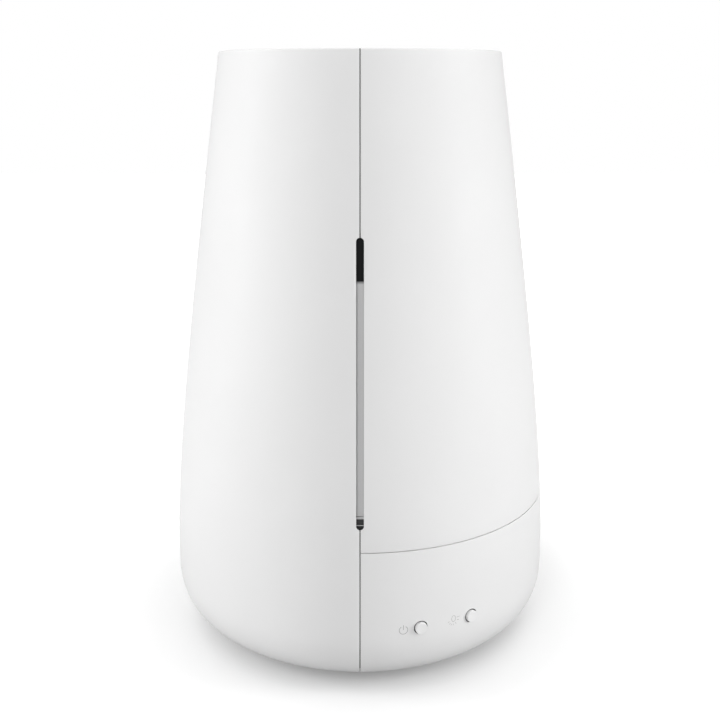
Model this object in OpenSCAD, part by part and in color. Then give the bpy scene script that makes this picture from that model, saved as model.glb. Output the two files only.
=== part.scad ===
// Cool mist humidifier with a lift-out water tank.
// The origin is on the table under the middle of the body, +Z is up and -Y is the front.
// The left half of the body is one tall shell. The right half is a low base shell with
// the buttons, and above it the tank, which lifts straight up out of the body.

/* [Body] */
// Widest diameter of the body
body_w = 220; // [216:1:230]
// Height of the shells without the feet
shell_h = 330; // [324:1:345]
// Diameter across the top rim
rim_w = 153.4; // [150:0.2:160]
// Diameter where the curved wall meets the underside
under_w = 132; // [130:1:136]
// Height of the widest ring above the underside
belly_h = 36.6; // [35:0.2:40]
// Wall of the outer shells
wall = 2.5; // [2.2:0.1:2.8]
// Round along the outer edge of the top rim
rim_round = 0.8; // [0.4:0.1:1.2]
// Width of the seam between the left and the right half
seam = 0.5; // [0.3:0.05:0.6]
// Width of the seam between the base and the tank
tank_seam = 0.4; // [0.2:0.05:0.5]
// Height of the base above the underside
base_h = 83.2; // [81:0.2:86]
// Depth of the turned-in lip under the body, measured from its outer edge
lip_w = 22; // [20:1:24]

/* [Feet] */
// Height of the body above the table
foot_h = 2; // [1.5:0.1:3]
// Diameter of a rubber foot
foot_d = 16; // [12:1:18]
// Depth of the recess that holds a foot
foot_recess = 0.6; // [0.4:0.1:1]
// Diameter of the circle that the feet stand on
foot_circle = 110; // [106:1:112]

/* [Window] */
// Width of the window slot
slot_w = 3.8; // [3:0.1:4]
// Length of the window slot
slot_l = 145.9; // [130:0.1:150]
// Height of the slot's lower end above the underside
slot_up = 95.5; // [94:0.1:100]
// Length of the black part at the top of the window
blank_l = 21.2; // [16:0.2:30]
// Thickness of the window lens
lens_t = 3; // [2:0.1:3.5]
// Number of lamps behind the lens
lamp_count = 8; // [4:1:10]

/* [Tank] */
// Wall of the tank
tank_wall = 2; // [1.6:0.1:2.4]
// Thickness of the tank's floor
tank_floor = 2.5; // [2:0.1:3]
// Height from the top of the tank's own walls up to the rim
tank_drop = 20; // [18:0.5:24]
// Diameter of the filling opening
fill_d = 112; // [106:1:116]
// Inner diameter of the mist tube
tube_d = 24; // [20:0.5:25]
// Wall of the mist tube
tube_wall = 1.8; // [1.4:0.1:2]
// Inner diameter of the mist chamber over the transducer
chamber_d = 78; // [76:1:82]
// Diameter of the bar of the tank's handle
handle_d = 7; // [6:0.5:7.5]
// Distance of the handle from the middle of the tank
handle_off = 38; // [34:1:40]

/* [Valve] */
// Inner diameter of the valve's neck
neck_d = 23; // [22:0.5:24]
// Diameter of the plunger's stem
stem_d = 4; // [3.4:0.2:4.4]
// How far the pin in the tray lifts the plunger
valve_lift = 4; // [3:0.2:4.6]
// Wire of the valve spring
spring_wire = 0.6; // [0.5:0.05:0.8]

/* [Lid] */
// Depth of the lid's top below the rim
lid_drop = 3.2; // [2.6:0.1:4]
// Thickness of the lid
lid_t = 2.8; // [2.4:0.1:3.2]
// Diameter of the nozzle's cap
nozzle_d = 44; // [42:1:50]
// Diameter of the lid's hole, in which the nozzle turns
nozzle_bore = 37; // [36:0.5:38]
// Width of the mist outlet
outlet_w = 7; // [5:0.5:8]
// Length of the mist outlet
outlet_l = 20; // [16:1:22]

/* [Tray] */
// Diameter of the water basin
basin_d = 162; // [160:1:166]
// Depth of the water basin
basin_depth = 22; // [20:0.5:23]
// Wall of the tray
tray_t = 2.4; // [2:0.1:2.8]
// Inner diameter of the air riser
riser_d = 14; // [12:0.5:14]
// Diameter of the transducer disc
disc_d = 21; // [20:0.5:22]

/* [Float] */
// Diameter of the float
float_d = 22; // [18:1:24]
// Height of the float
float_h = 8; // [7:0.5:9]
// How far the float can rise
float_rise = 8; // [6:0.5:8]

/* [Base] */
// Thickness of the base plate
plate_t = 2.5; // [2.2:0.1:3]
// Diameter of the base plate
plate_d = 164; // [158:1:166]
// Side of the square fan
fan_w = 50; // [48:1:51]
// Thickness of the fan
fan_t = 15; // [12:1:16]
// Distance of the fan from the middle
fan_off = 50; // [49:0.5:51]
// Height of the air duct over the fan
duct_h = 15; // [13:1:16]
// Height of the posts that carry the fan
fan_stand = 4; // [3:0.5:5]
// Height of the posts that carry the driver board
board_stand = 6; // [5:0.5:8]

/* [Buttons] */
// Diameter of a button hole
button_hole = 7.6; // [7.2:0.2:9.4]
// Gap around a button
button_gap = 0.5; // [0.4:0.05:0.7]
// How far a button stands out of the wall
button_proud = 1.5; // [1:0.1:2]
// Round along the edge of a button
button_round = 0.4; // [0.2:0.1:0.6]
// Travel of a button
button_travel = 0.6; // [0.4:0.05:0.7]
// Height of the buttons above the underside
button_up = 39.6; // [38:0.2:42]
// Direction of the power button, in degrees from the front to the right
power_turn = 16.8; // [16.2:0.2:18]
// Direction of the light button, in degrees from the front to the right
light_turn = 32.6; // [32:0.2:33.6]

/* [Hidden] */
$fn = 96;

shell_white = [0.95, 0.95, 0.95];
window_black = [0.06, 0.06, 0.07];
lens_grey = [0.6, 0.6, 0.6];
tank_grey = [0.72, 0.75, 0.78, 0.7];
inner_white = [0.9, 0.9, 0.88];
silicone_clear = [0.8, 0.8, 0.78];
rubber_grey = [0.35, 0.35, 0.36];
steel = [0.7, 0.7, 0.72];
board_green = [0.1, 0.35, 0.2];
part_black = [0.1, 0.1, 0.1];

// Clearances and small sizes that many pieces share
cut = 1;                 // how far a cut runs past the face that it cuts
seat = 0.1;              // gap under a piece that stands on another
slip = 0.3;              // gap along a wall that a piece is pushed against
run = 0.08;              // radial gap of a stem or shaft that moves in its hole
screw_gap = 0.05;        // radial gap around a screw in its boss
pass = 0.25;             // radial gap around a screw in a hole that it passes through
span = 400;              // more than the largest size of the body

// Outline of the body: a soft bend above the widest ring and a rounded belly below it
under_z = foot_h;
belly_z = foot_h + belly_h;
rim_z = foot_h + shell_h;
split_z = foot_h + base_h;
waist_r = body_w / 2;
rim_r = rim_w / 2;
under_r = under_w / 2;
lip_r = under_r - lip_w;
bend = 0.29;
belly_power = 2.288;
side_steps = 24;
belly_steps = 20;

function side_r(z) =
    let (s = (z - belly_z) / (rim_z - belly_z), full = sqrt(1 + bend * bend) - bend)
    waist_r - (waist_r - rim_r) * (sqrt(s * s + bend * bend) - bend) / full;

function side_curve(inset, z0, z1) =
    [for (i = [0:side_steps]) let (z = z0 + (z1 - z0) * i / side_steps) [side_r(z) - inset, z]];

function belly_curve(inset) =
    [for (i = [0:belly_steps]) let (t = 90 - 90 * i / belly_steps)
        [under_r + (waist_r - inset - under_r) * pow(cos(t), 2 / belly_power),
         belly_z - (belly_h - inset) * pow(sin(t), 2 / belly_power)]];

function belly_r(z, inset) =
    under_r + (waist_r - inset - under_r)
        * pow(1 - pow((belly_z - z) / (belly_h - inset), belly_power), 1 / belly_power);

function reversed(list) = [for (i = [len(list) - 1:-1:0]) list[i]];

function tail(list) = [for (i = [1:len(list) - 1]) list[i]];

function rounded_rim(z) =
    [for (t = [0:30:90]) [side_r(z - rim_round) - rim_round * (1 - cos(t)), z - rim_round * (1 - sin(t))]];

// Height at which the belly's wall has a radius
function belly_height(r, inset) =
    belly_z - (belly_h - inset)
        * pow(1 - pow((r - under_r) / (waist_r - inset - under_r), belly_power), 1 / belly_power);

// Heights in the base. The base plate lies where the belly is just wide enough for it.
lip_z = under_z + wall;
plate_gap = 0.95;
plate_z = belly_height(plate_d / 2 + plate_gap, wall);
plate_top = plate_z + plate_t;
deck_z = split_z - 1.2;
floor_z = deck_z - basin_depth;
fan_z = plate_top + fan_stand;
duct_z = fan_z + fan_t + seat;
board_z = plate_top + board_stand;

foot_chamfer = 0.5;

// Screws: head radius, head height and shank radius
screw_head = 2.9;
screw_head_h = 1.2;
screw_shank = 1.45;
small_head = 2;
small_head_h = 0.9;
small_shank = 0.95;

// Base screws and tray screws
base_screw_circle = under_r - 5;
base_screw_turns = [30, 150, -30, -150];
base_boss_r = 4;
base_boss_h = 7;
base_bore_top = plate_top + base_boss_h - 1.2;
base_screw_l = base_bore_top - 0.5 - (under_z + screw_head_h + seat);
tray_boss_r = 5.5;
tray_boss_h = 20;
tray_boss_root = 1.3;
tray_boss_at = side_r(deck_z) - wall - tray_boss_r + tray_boss_root;
tray_screw_turns = [62, 122, -62, -122];
tray_screw_l = 12;
deck_gap = 0.6;
deck_r = side_r(deck_z) - wall - deck_gap;
basin_r = basin_d / 2;
basin_out = basin_r + tray_t;

// Tank bay, and the liner that walls it off from the left shell
liner_t = 1.5;
liner_out = rim_r - wall - 0.7;
bay_r = liner_out - liner_t;
liner_x = -0.5;
liner_flat = 2;
liner_z = deck_z + seat;
liner_top = rim_z - 3;
liner_tab_at = (basin_out + deck_r) / 2;
liner_tab_r = 5;
liner_tab_h = 2;
liner_tab_turns = [-72, -108];
liner_boss_h = 8;

// Window
slot_z0 = under_z + slot_up;
slot_z1 = slot_z0 + slot_l;
frame_over = 2.2;
frame_x0 = -6;
frame_x1 = slot_w / 2 + 0.3;
frame_rail = 1.9;
frame_depth = 9;
frame_back = 1.6;
frame_in = wall + slip;
frame_z0 = slot_z0 - frame_over;
frame_z1 = slot_z1 + frame_over;
lens_z0 = slot_z0 + 4.7;
lens_z1 = slot_z1 - blank_l - 0.3;
lens_groove_up = 1.2;
lens_groove_h = 0.4;
frame_rib_up = 1.45;
frame_rib_h = 0.3;
frame_rib_out = 0.2;
strip_t = 1.2;
lamp_t = 1.4;
lamp_w = 3;
lamp_l = 3.5;

// Tank
tank_x = frame_x1 + 0.5;
tank_in = wall + slip;
tank_r = bay_r - 0.6;
tank_z0 = deck_z + 0.2;
tank_z1 = rim_z - tank_drop;
chamber_r = chamber_d / 2;
skirt_z = floor_z + 2.5;
notch_w = 10;
notch_h = 8;
notch_count = 6;
chamber_top = tank_z0 + 6;
cone_top = tank_z0 + 32;
socket_top = cone_top + 10;
tube_r = tube_d / 2;
tube_out = tube_r + tube_wall;
tube_seat = 2;
tube_top = rim_z - 10;
socket_gap = 0.15;
gasket_t = 0.8;
collar_z = tank_z1 + gasket_t;
collar_t = 2.5;
collar_top = collar_z + collar_t;
fill_r = fill_d / 2;
handle_r = handle_d / 2;
handle_foot_r = 2.5;
handle_foot_out = 0.7;
handle_gap = 1.1;
handle_end = 1;
handle_half = sqrt(pow(fill_r + handle_foot_out, 2) - handle_off * handle_off);
weld = 0.05;

// Valve, midway between the mist chamber and the basin's wall
valve_off = (chamber_r + tank_wall + basin_r) / 2;
neck_r = neck_d / 2;
neck_t = 1.8;
neck_l = 7;
neck_z = tank_z0 - neck_l;
cap_gap = 0.2;
cap_t = 2;
cap_wall = 2;
cap_z = neck_z - 1 - cap_t;
cap_r = neck_r + neck_t + cap_gap + cap_wall;
cage_r = neck_r - 0.2;
cage_t = 1.4;
cage_h = 16;
cage_z = cap_z + cap_t + seat;
stem_r = stem_d / 2;
seal_t = 1.2;
head_t = 1.5;
head_r = cage_r - cage_t - 0.4;
seal_z = cap_z + cap_t + valve_lift;
stem_z0 = cap_z - 0.5;
stem_z1 = cage_z + cage_h + 3;
coil_r = 4;
coil_turns = 4;

// Lid and nozzle
lid_top = rim_z - lid_drop;
lid_z = lid_top - lid_t;
lid_r = tank_r - 0.2;
lid_skirt_t = 2;
lid_skirt_r = (fill_r + tank_r - lid_skirt_t) / 2;
lid_gasket_t = 0.9;
lid_skirt_z = collar_top + seat + lid_gasket_t;
bore_r = nozzle_bore / 2;
boss_t = 2;
boss_z = lid_z - 8;
hub_t = 2;
clip_t = 1.3;
clip_w = 1.6;
nozzle_t = 1.8;
outlet_off = 6;

// Tray and transducer, and the riser midway between the well and the chamber's wall
disc_r = disc_d / 2;
well_hole = disc_r - 2;
well_bore = disc_r + 2;
well_r = well_bore + 3.5;
well_z = floor_z - tray_t - 5.6;
ear_r = 3.6;
ear_at = well_r + 1;
ear_turns = [0, 120, 240];
riser_off = (well_r + chamber_r) / 2;
riser_r = riser_d / 2;
riser_wall = 2;
riser_out = riser_r + riser_wall;
riser_flange = 1.5;
riser_flange_t = 1.6;
riser_top = deck_z - 4;
spigot_z = duct_z + duct_h + 1;
disc_t = 1.1;
seal_ring_z0 = well_z + 1.2;
seal_ring_z1 = floor_z - tray_t - 0.7;
seal_ring_out = well_bore - 0.2;
seal_ring_in = disc_r - 2;
holder_t = 3.4;
valve_pin_r = 1.5;
wire_hole_r = 2.2;
disc_mid = (seal_ring_z0 + seal_ring_z1) / 2;

// Float
float_turn = 20.8;
float_x = valve_off * sin(float_turn);
float_y = -valve_off * cos(float_turn);
float_r = float_d / 2;
float_post_r = 2.5;
float_z = floor_z + seat;
clip_post_z = float_z + float_h + float_rise + 0.8;
clip_post_h = 2.2;
float_clip_t = 1.6;
magnet_in = 5.5;
magnet_out = 8;
magnet_h = 3;

// Fan and duct
fan_bore = fan_w / 2 - 1.6;
fan_hub_r = 10.5;
fan_hub_h = fan_t - 5;
fan_hole = fan_w * 0.4;
blade_count = 7;
shaft_r = 1.5;
duct_wall = 1.8;
duct_x0 = -fan_off - fan_w / 2;
duct_tube_r = riser_out + 0.2;
duct_x1 = -riser_off + duct_tube_r + duct_wall;
duct_inset = 11;
duct_lap = 4.8;

// Driver board
board_x = 8;
board_y = -30;
board_w = 54;
board_l = 70;
board_t = 1.6;
board_top = board_z + board_t;
post_inset = 4;
post_r = 3.2;
plug_l = 10;
plug_w = 5;
plug_h = 6;
plug_top = board_top + seat + plug_h;
signal_y = 4;
power_y = 62;
signal_x = [14, 28];
power_x = 30;
can_r = 4;
tall_h = 12;
sink_h = 18;

// Buttons and their board
button_z = under_z + button_up;
button_r = button_hole / 2 - button_gap;
button_face = side_r(button_z) + button_proud;
inner_wall_r = side_r(button_z) - wall;
flange_r = button_hole / 2 + 1.6;
flange_t = 1;
flange_gap = 0.5;
board_turn = (power_turn + light_turn) / 2;
half_turn_angle = (light_turn - power_turn) / 2;
key_board_w = 56;
key_board_h = 16;
key_board_t = 1.6;
key_board_gap = 13.9;
key_board_r = inner_wall_r - key_board_gap;
key_boss_off = 24;
key_boss_r = 2.6;
switch_w = 6;
switch_h = 2.2;
actuator_r = 1.6;
actuator_h = 0.9;
stem_gap = 0.4;
stem_end = (key_board_r + switch_h + actuator_h + button_travel + stem_gap) / cos(half_turn_angle);
switch_off = key_board_r * tan(half_turn_angle);

// Power inlet at the back
jack_turn = 160;
jack_z = under_z + 28;
jack_r = 4.8;
jack_flange_r = 7;
jack_bore = 2.8;
jack_pin_r = 1;
jack_depth = 9.5;
jack_back = 20;
jack_pin_root = 3;
jack_face = side_r(belly_z) - 1.1;

module half_turn(side) {
    rotate([0, 0, side > 0 ? -90 : 90])
        rotate_extrude(angle = 180)
            children();
}

// Keeps what lies on one side of the plane x = at
module keep_side(side, at) {
    intersection() {
        children();
        translate([side > 0 ? at : at - span, -span / 2, -cut])
            cube([span, span, span]);
    }
}

// Turns local +X outwards in the direction that is turn degrees from the front to the right
module facing(turn, z) {
    translate([0, 0, z])
        rotate([0, 0, turn - 90])
            children();
}

module out_cylinder(r, x0, x1) {
    translate([x0, 0, 0])
        rotate([0, 90, 0])
            cylinder(r = r, h = x1 - x0);
}

module ring(r_out, r_in, z0, z1) {
    translate([0, 0, z0])
        difference() {
            cylinder(r = r_out, h = z1 - z0);
            translate([0, 0, -cut])
                cylinder(r = r_in, h = z1 - z0 + 2 * cut);
        }
}

// A screw whose head sits on z = 0 and whose shank points down
module screw(head, head_h, shank, length) {
    difference() {
        union() {
            cylinder(r = head, h = head_h);
            translate([0, 0, -length])
                cylinder(r = shank, h = length + head_h / 2);
        }
        for (turn = [0, 90])
            rotate([0, 0, turn])
                translate([-head * 0.6, -head * 0.12, head_h * 0.5])
                    cube([head * 1.2, head * 0.24, head_h]);
    }
}

// ---- Outer shells ----

module slot_cut() {
    end_r = slot_w / 2;
    translate([0, -lip_r, 0])
        rotate([90, 0, 0])
            linear_extrude(span)
                union() {
                    translate([-end_r, slot_z0 + end_r])
                        square([slot_w, slot_l - slot_w]);
                    for (z = [slot_z0 + end_r, slot_z1 - end_r])
                        translate([0, z])
                            circle(r = end_r);
                }
}

// The wall of a half shell that stands on its own lip
module standing_wall(side, top) {
    keep_side(side, side * seam / 2)
        half_turn(side)
            polygon(concat(
                [[lip_r, under_z]],
                belly_curve(0),
                tail(side_curve(0, belly_z, top[0][1])),
                tail(top),
                [[side_r(top[0][1]) - wall, top[len(top) - 1][1]]],
                reversed(tail(side_curve(wall, belly_z, top[0][1]))),
                reversed(belly_curve(wall)),
                [[lip_r, lip_z]]));
}

module tray_bosses(side) {
    for (turn = tray_screw_turns)
        if (turn * side > 0)
            facing(turn, deck_z - tray_t - seat - tray_boss_h)
                translate([tray_boss_at, 0, 0])
                    cylinder(r = tray_boss_r, h = tray_boss_h);
}

module tray_boss_bores(side) {
    for (turn = tray_screw_turns)
        if (turn * side > 0)
            facing(turn, deck_z - tray_screw_l - cut)
                translate([tray_boss_at, 0, 0])
                    cylinder(r = screw_shank + screw_gap, h = tray_screw_l + cut);
}

module foot_places(side) {
    for (turn = [45, 135, -45, -135])
        if (turn * side >= 0)
            facing(turn, 0)
                translate([foot_circle / 2, 0, 0])
                    children();
}

module lip_cuts(side) {
    foot_places(side)
        translate([0, 0, under_z - cut])
            cylinder(r = foot_d / 2 + 0.15, h = foot_recess + cut);
    for (turn = base_screw_turns)
        if (turn * side > 0)
            facing(turn, under_z - cut)
                translate([base_screw_circle, 0, 0]) {
                    cylinder(r = screw_head + pass, h = screw_head_h + seat + cut);
                    cylinder(r = screw_shank + pass, h = wall + 2 * cut);
                }
}

module left_shell() {
    color(shell_white)
        difference() {
            union() {
                standing_wall(-1, rounded_rim(rim_z));
                tray_bosses(-1);
            }
            slot_cut();
            lip_cuts(-1);
            tray_boss_bores(-1);
        }
}

module key_bosses() {
    for (off = [-key_boss_off, key_boss_off])
        facing(board_turn, button_z)
            translate([0, off, 0])
                out_cylinder(key_boss_r, key_board_r + seat,
                    sqrt(pow(side_r(button_z), 2) - off * off) - wall / 2);
}

module base_shell() {
    top = split_z - tank_seam / 2;
    color(shell_white)
        difference() {
            union() {
                standing_wall(1, [[side_r(top), top]]);
                tray_bosses(1);
                key_bosses();
            }
            lip_cuts(1);
            tray_boss_bores(1);
            for (turn = [power_turn, light_turn])
                facing(turn, button_z)
                    out_cylinder(button_hole / 2, inner_wall_r - 3, waist_r + cut);
            for (off = [-key_boss_off, key_boss_off])
                facing(board_turn, button_z)
                    translate([0, off, 0])
                        out_cylinder(small_shank + screw_gap, key_board_r, key_board_r + 6);
            facing(jack_turn, jack_z)
                out_cylinder(jack_r + 0.2, jack_face - 8, waist_r + cut);
        }
}

module tank_shell() {
    z0 = split_z + tank_seam / 2;
    top = rounded_rim(rim_z);
    color(shell_white)
        difference() {
            keep_side(1, seam / 2)
                half_turn(1)
                    polygon(concat(
                        side_curve(0, z0, top[0][1]),
                        tail(top),
                        [[side_r(top[0][1]) - wall, rim_z]],
                        reversed(side_curve(wall, z0, top[0][1]))));
            slot_cut();
        }
}

// ---- Base plate and feet ----

module at_fan_holes() {
    for (x = [-fan_hole, fan_hole])
        for (y = [-fan_hole, fan_hole])
            translate([x - fan_off, y, 0])
                children();
}

module at_board_holes() {
    for (x = [board_x + post_inset, board_x + board_w - post_inset])
        for (y = [board_y + post_inset, board_y + board_l - post_inset])
            translate([x, y, 0])
                children();
}

module base_plate() {
    rib_w = 7;
    grille_slots = 9;
    grille_pitch = 8;
    grille_w = 3;
    grille_x = -22;
    grille_l = 26;
    color(inner_white)
        difference() {
            union() {
                translate([0, 0, plate_z])
                    cylinder(r = plate_d / 2, h = plate_t);
                ring(base_screw_circle + rib_w / 2, base_screw_circle - rib_w / 2,
                    lip_z + seat, plate_z + plate_t / 2);
                for (turn = base_screw_turns)
                    facing(turn, plate_z)
                        translate([base_screw_circle, 0, 0])
                            cylinder(r = base_boss_r, h = plate_t + base_boss_h);
                at_fan_holes()
                    translate([0, 0, plate_z])
                        cylinder(r = post_r, h = plate_t + fan_stand);
                at_board_holes()
                    translate([0, 0, plate_z])
                        cylinder(r = post_r, h = plate_t + board_stand);
            }
            for (turn = base_screw_turns)
                facing(turn, lip_z)
                    translate([base_screw_circle, 0, 0])
                        cylinder(r = screw_shank + screw_gap, h = base_bore_top - lip_z);
            at_fan_holes()
                translate([0, 0, plate_top - 1])
                    cylinder(r = screw_shank + screw_gap, h = fan_stand + 1 + cut);
            at_board_holes()
                translate([0, 0, plate_top])
                    cylinder(r = small_shank + screw_gap, h = board_stand + cut);
            for (i = [0:grille_slots - 1])
                translate([grille_x, (i - (grille_slots - 1) / 2) * grille_pitch - grille_w / 2, lip_z])
                    cube([grille_l, grille_w, plate_top + cut - lip_z]);
        }
}

module rubber_feet() {
    foot_r = foot_d / 2;
    top = under_z + foot_recess - 0.05;
    color(rubber_grey)
        for (side = [-1, 1])
            foot_places(side)
                rotate_extrude()
                    polygon([
                        [0, 0], [foot_r - foot_chamfer, 0], [foot_r, foot_chamfer],
                        [foot_r, top], [0, top]]);
}

module base_screws() {
    color(steel)
        for (turn = base_screw_turns)
            facing(turn, under_z + screw_head_h + seat)
                translate([base_screw_circle, 0, 0])
                    rotate([180, 0, 0])
                        screw(screw_head, screw_head_h, screw_shank, base_screw_l);
}

// ---- Tray ----

module well_ears(r, z0, z1) {
    for (turn = ear_turns)
        rotate([0, 0, turn])
            translate([ear_at, 0, z0])
                cylinder(r = r, h = z1 - z0);
}

module reservoir_tray() {
    floor_under = floor_z - tray_t;
    color(inner_white)
        difference() {
            union() {
                difference() {
                    union() {
                        translate([0, 0, deck_z - tray_t])
                            cylinder(r = deck_r, h = tray_t);
                        translate([0, 0, floor_under])
                            cylinder(r = basin_out, h = deck_z - floor_under - tray_t / 2);
                    }
                    translate([0, 0, floor_z])
                        cylinder(r = basin_r, h = basin_depth + cut);
                }
                translate([0, 0, well_z])
                    cylinder(r = well_r, h = floor_z - well_z - tray_t / 2);
                well_ears(ear_r, well_z, floor_z - tray_t / 2);
                translate([valve_off, 0, floor_under])
                    cylinder(r = valve_pin_r, h = stem_z0 - 0.2 - floor_under);
                translate([float_x, float_y, floor_under])
                    cylinder(r = float_post_r, h = clip_post_z + float_clip_t + clip_post_h - floor_under);
                for (turn = liner_tab_turns)
                    facing(turn, deck_z - tray_t - liner_boss_h)
                        translate([liner_tab_at, 0, 0])
                            cylinder(r = base_boss_r, h = liner_boss_h + tray_t / 2);
            }
            translate([0, 0, well_z - cut])
                cylinder(r = well_bore, h = seal_ring_z1 + seat - well_z + cut);
            translate([0, 0, well_z])
                cylinder(r = well_hole, h = basin_depth);
            well_ears(small_shank + screw_gap, well_z - cut, well_z + 5);
            translate([-riser_off, 0, floor_under - cut])
                cylinder(r = riser_out + screw_gap, h = tray_t + 2 * cut);
            for (turn = tray_screw_turns)
                facing(turn, deck_z)
                    translate([tray_boss_at, 0, 0]) {
                        translate([0, 0, -screw_head_h - seat])
                            cylinder(r = screw_head + pass, h = screw_head_h + cut);
                        translate([0, 0, -tray_t - cut])
                            cylinder(r = screw_shank + pass, h = tray_t + 2 * cut);
                    }
            for (turn = liner_tab_turns)
                facing(turn, deck_z - liner_boss_h)
                    translate([liner_tab_at, 0, 0])
                        cylinder(r = small_shank + screw_gap, h = liner_boss_h + cut);
            translate([light_wire_x, light_wire_y, deck_z - tray_t - cut])
                cylinder(r = wire_hole_r, h = tray_t + 2 * cut);
        }
}

// The tube that leads the fan's air up through the basin's floor
module air_riser() {
    color(inner_white)
        translate([-riser_off, 0, 0])
            difference() {
                union() {
                    translate([0, 0, spigot_z])
                        cylinder(r = riser_out, h = riser_top - spigot_z);
                    translate([0, 0, floor_z + seat])
                        cylinder(r = riser_out + riser_flange, h = riser_flange_t);
                }
                translate([0, 0, spigot_z - cut])
                    cylinder(r = riser_r, h = riser_top - spigot_z + 2 * cut);
            }
}

module tray_screws() {
    color(steel)
        for (turn = tray_screw_turns)
            facing(turn, deck_z - screw_head_h - seat / 2)
                translate([tray_boss_at, 0, 0])
                    screw(screw_head, screw_head_h, screw_shank, tray_screw_l - screw_head_h - seat);
}

// ---- Liner ----

// The solid inside the body wall, from z0 to z1
module body_core(inset, z0, z1) {
    rotate_extrude()
        polygon(concat([[0, z0]], side_curve(inset, z0, z1), [[0, z1]]));
}

// A curved band behind the front wall, between two depths
module front_band(in0, in1, z0, z1, x0, x1) {
    fan_angle = 16;
    intersection() {
        rotate([0, 0, -90 - fan_angle / 2])
            rotate_extrude(angle = fan_angle)
                polygon(concat(side_curve(in0, z0, z1), reversed(side_curve(in1, z0, z1))));
        translate([x0, -span / 2, z0 - cut])
            cube([x1 - x0, span / 2, z1 - z0 + 2 * cut]);
    }
}

module liner() {
    color(inner_white)
        difference() {
            union() {
                keep_side(-1, liner_x)
                    ring(liner_out, bay_r, liner_z, liner_top);
                difference() {
                    intersection() {
                        body_core(wall + slip, liner_z, liner_top);
                        translate([liner_x - liner_flat, -span / 2, 0])
                            cube([liner_flat, span, span]);
                    }
                    translate([0, 0, liner_z - cut])
                        cylinder(r = bay_r, h = span);
                }
                for (turn = liner_tab_turns)
                    facing(turn, liner_z) {
                        translate([liner_tab_at, 0, 0])
                            cylinder(r = liner_tab_r, h = liner_tab_h);
                        translate([liner_out - liner_t / 2, -liner_tab_r, 0])
                            cube([liner_tab_at - liner_out + liner_t / 2, 2 * liner_tab_r, liner_tab_h]);
                    }
            }
            front_band(0, frame_in + frame_depth + 0.2, frame_z0 - 0.2, frame_z1 + 0.2,
                frame_x0 - 1, frame_x1 + 1);
            for (turn = liner_tab_turns)
                facing(turn, liner_z - cut)
                    translate([liner_tab_at, 0, 0])
                        cylinder(r = small_shank + pass, h = liner_tab_h + 2 * cut);
        }
}

module liner_screws() {
    color(steel)
        for (turn = liner_tab_turns)
            facing(turn, liner_z + liner_tab_h + seat / 2)
                translate([liner_tab_at, 0, 0])
                    screw(small_head, small_head_h, small_shank, 8);
}

// ---- Window ----

module window_frame() {
    pocket_x = frame_x0 + frame_rail;
    back_in = frame_in + frame_depth - frame_back;
    color(window_black)
        difference() {
            union() {
                front_band(frame_in, frame_in + frame_depth, frame_z0, frame_z1, frame_x0, frame_x1);
                front_band(frame_in - frame_rib_out, frame_in + 1, slot_z0 + frame_rib_up,
                    slot_z0 + frame_rib_up + frame_rib_h, frame_x0, frame_x1);
            }
            front_band(0, back_in, lens_z0 - seat, lens_z1 + seat, pocket_x, span / 2);
        }
}

module window_lens() {
    color(lens_grey)
        difference() {
            front_band(frame_in, frame_in + lens_t, lens_z0, lens_z1,
                frame_x0 + frame_rail + seat, frame_x1);
            front_band(0, frame_in + 0.8, lens_z0 + lens_groove_up,
                lens_z0 + lens_groove_up + lens_groove_h, frame_x0, span / 2);
        }
}

module light_strip() {
    back_in = frame_in + frame_depth - frame_back - seat;
    color(board_green)
        front_band(back_in - strip_t, back_in, lens_z0 + 1, lens_z1 - 1,
            frame_x0 + frame_rail + seat, frame_x1 - 0.4);
}

module light_lamps() {
    lamp_in = frame_in + frame_depth - frame_back - strip_t - 2 * seat;
    pitch = (lens_z1 - lens_z0 - 12) / (lamp_count - 1);
    mid_x = (frame_x0 + frame_rail + frame_x1) / 2;
    color("ivory")
        for (i = [0:lamp_count - 1])
            front_band(lamp_in - lamp_t, lamp_in,
                lens_z0 + 6 + i * pitch - lamp_l / 2, lens_z0 + 6 + i * pitch + lamp_l / 2,
                mid_x - lamp_w / 2, mid_x + lamp_w / 2);
}

// ---- Tank ----

// The tank's plan: the right half of the body, and the round bay on the left
module tank_form(inset, z0, z1) {
    union() {
        intersection() {
            body_core(tank_in + inset, z0, z1);
            translate([tank_x + inset, -span / 2, 0])
                cube([span, span, span]);
        }
        translate([0, 0, z0])
            cylinder(r = tank_r - inset, h = z1 - z0);
    }
}

module chamber(r0, r1, z0, z1, z2, z3) {
    rotate_extrude()
        polygon([[0, z0], [r0, z0], [r0, z1], [r1, z2], [r1, z3], [0, z3]]);
}

module tank_walls() {
    color(tank_grey)
        difference() {
            tank_form(0, tank_z0 + tank_floor + weld, tank_z1);
            tank_form(tank_wall, tank_z0, tank_z1 + cut);
        }
}

module tank_base() {
    color(tank_grey)
        difference() {
            union() {
                tank_form(0, tank_z0, tank_z0 + tank_floor);
                translate([valve_off, 0, neck_z])
                    cylinder(r = neck_r + neck_t, h = neck_l + tank_floor / 2);
            }
            translate([0, 0, tank_z0 - cut])
                cylinder(r = chamber_r + tank_wall + weld, h = tank_floor + 2 * cut);
            translate([valve_off, 0, neck_z - cut])
                cylinder(r = neck_r, h = neck_l + tank_floor + 2 * cut);
        }
}

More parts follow.
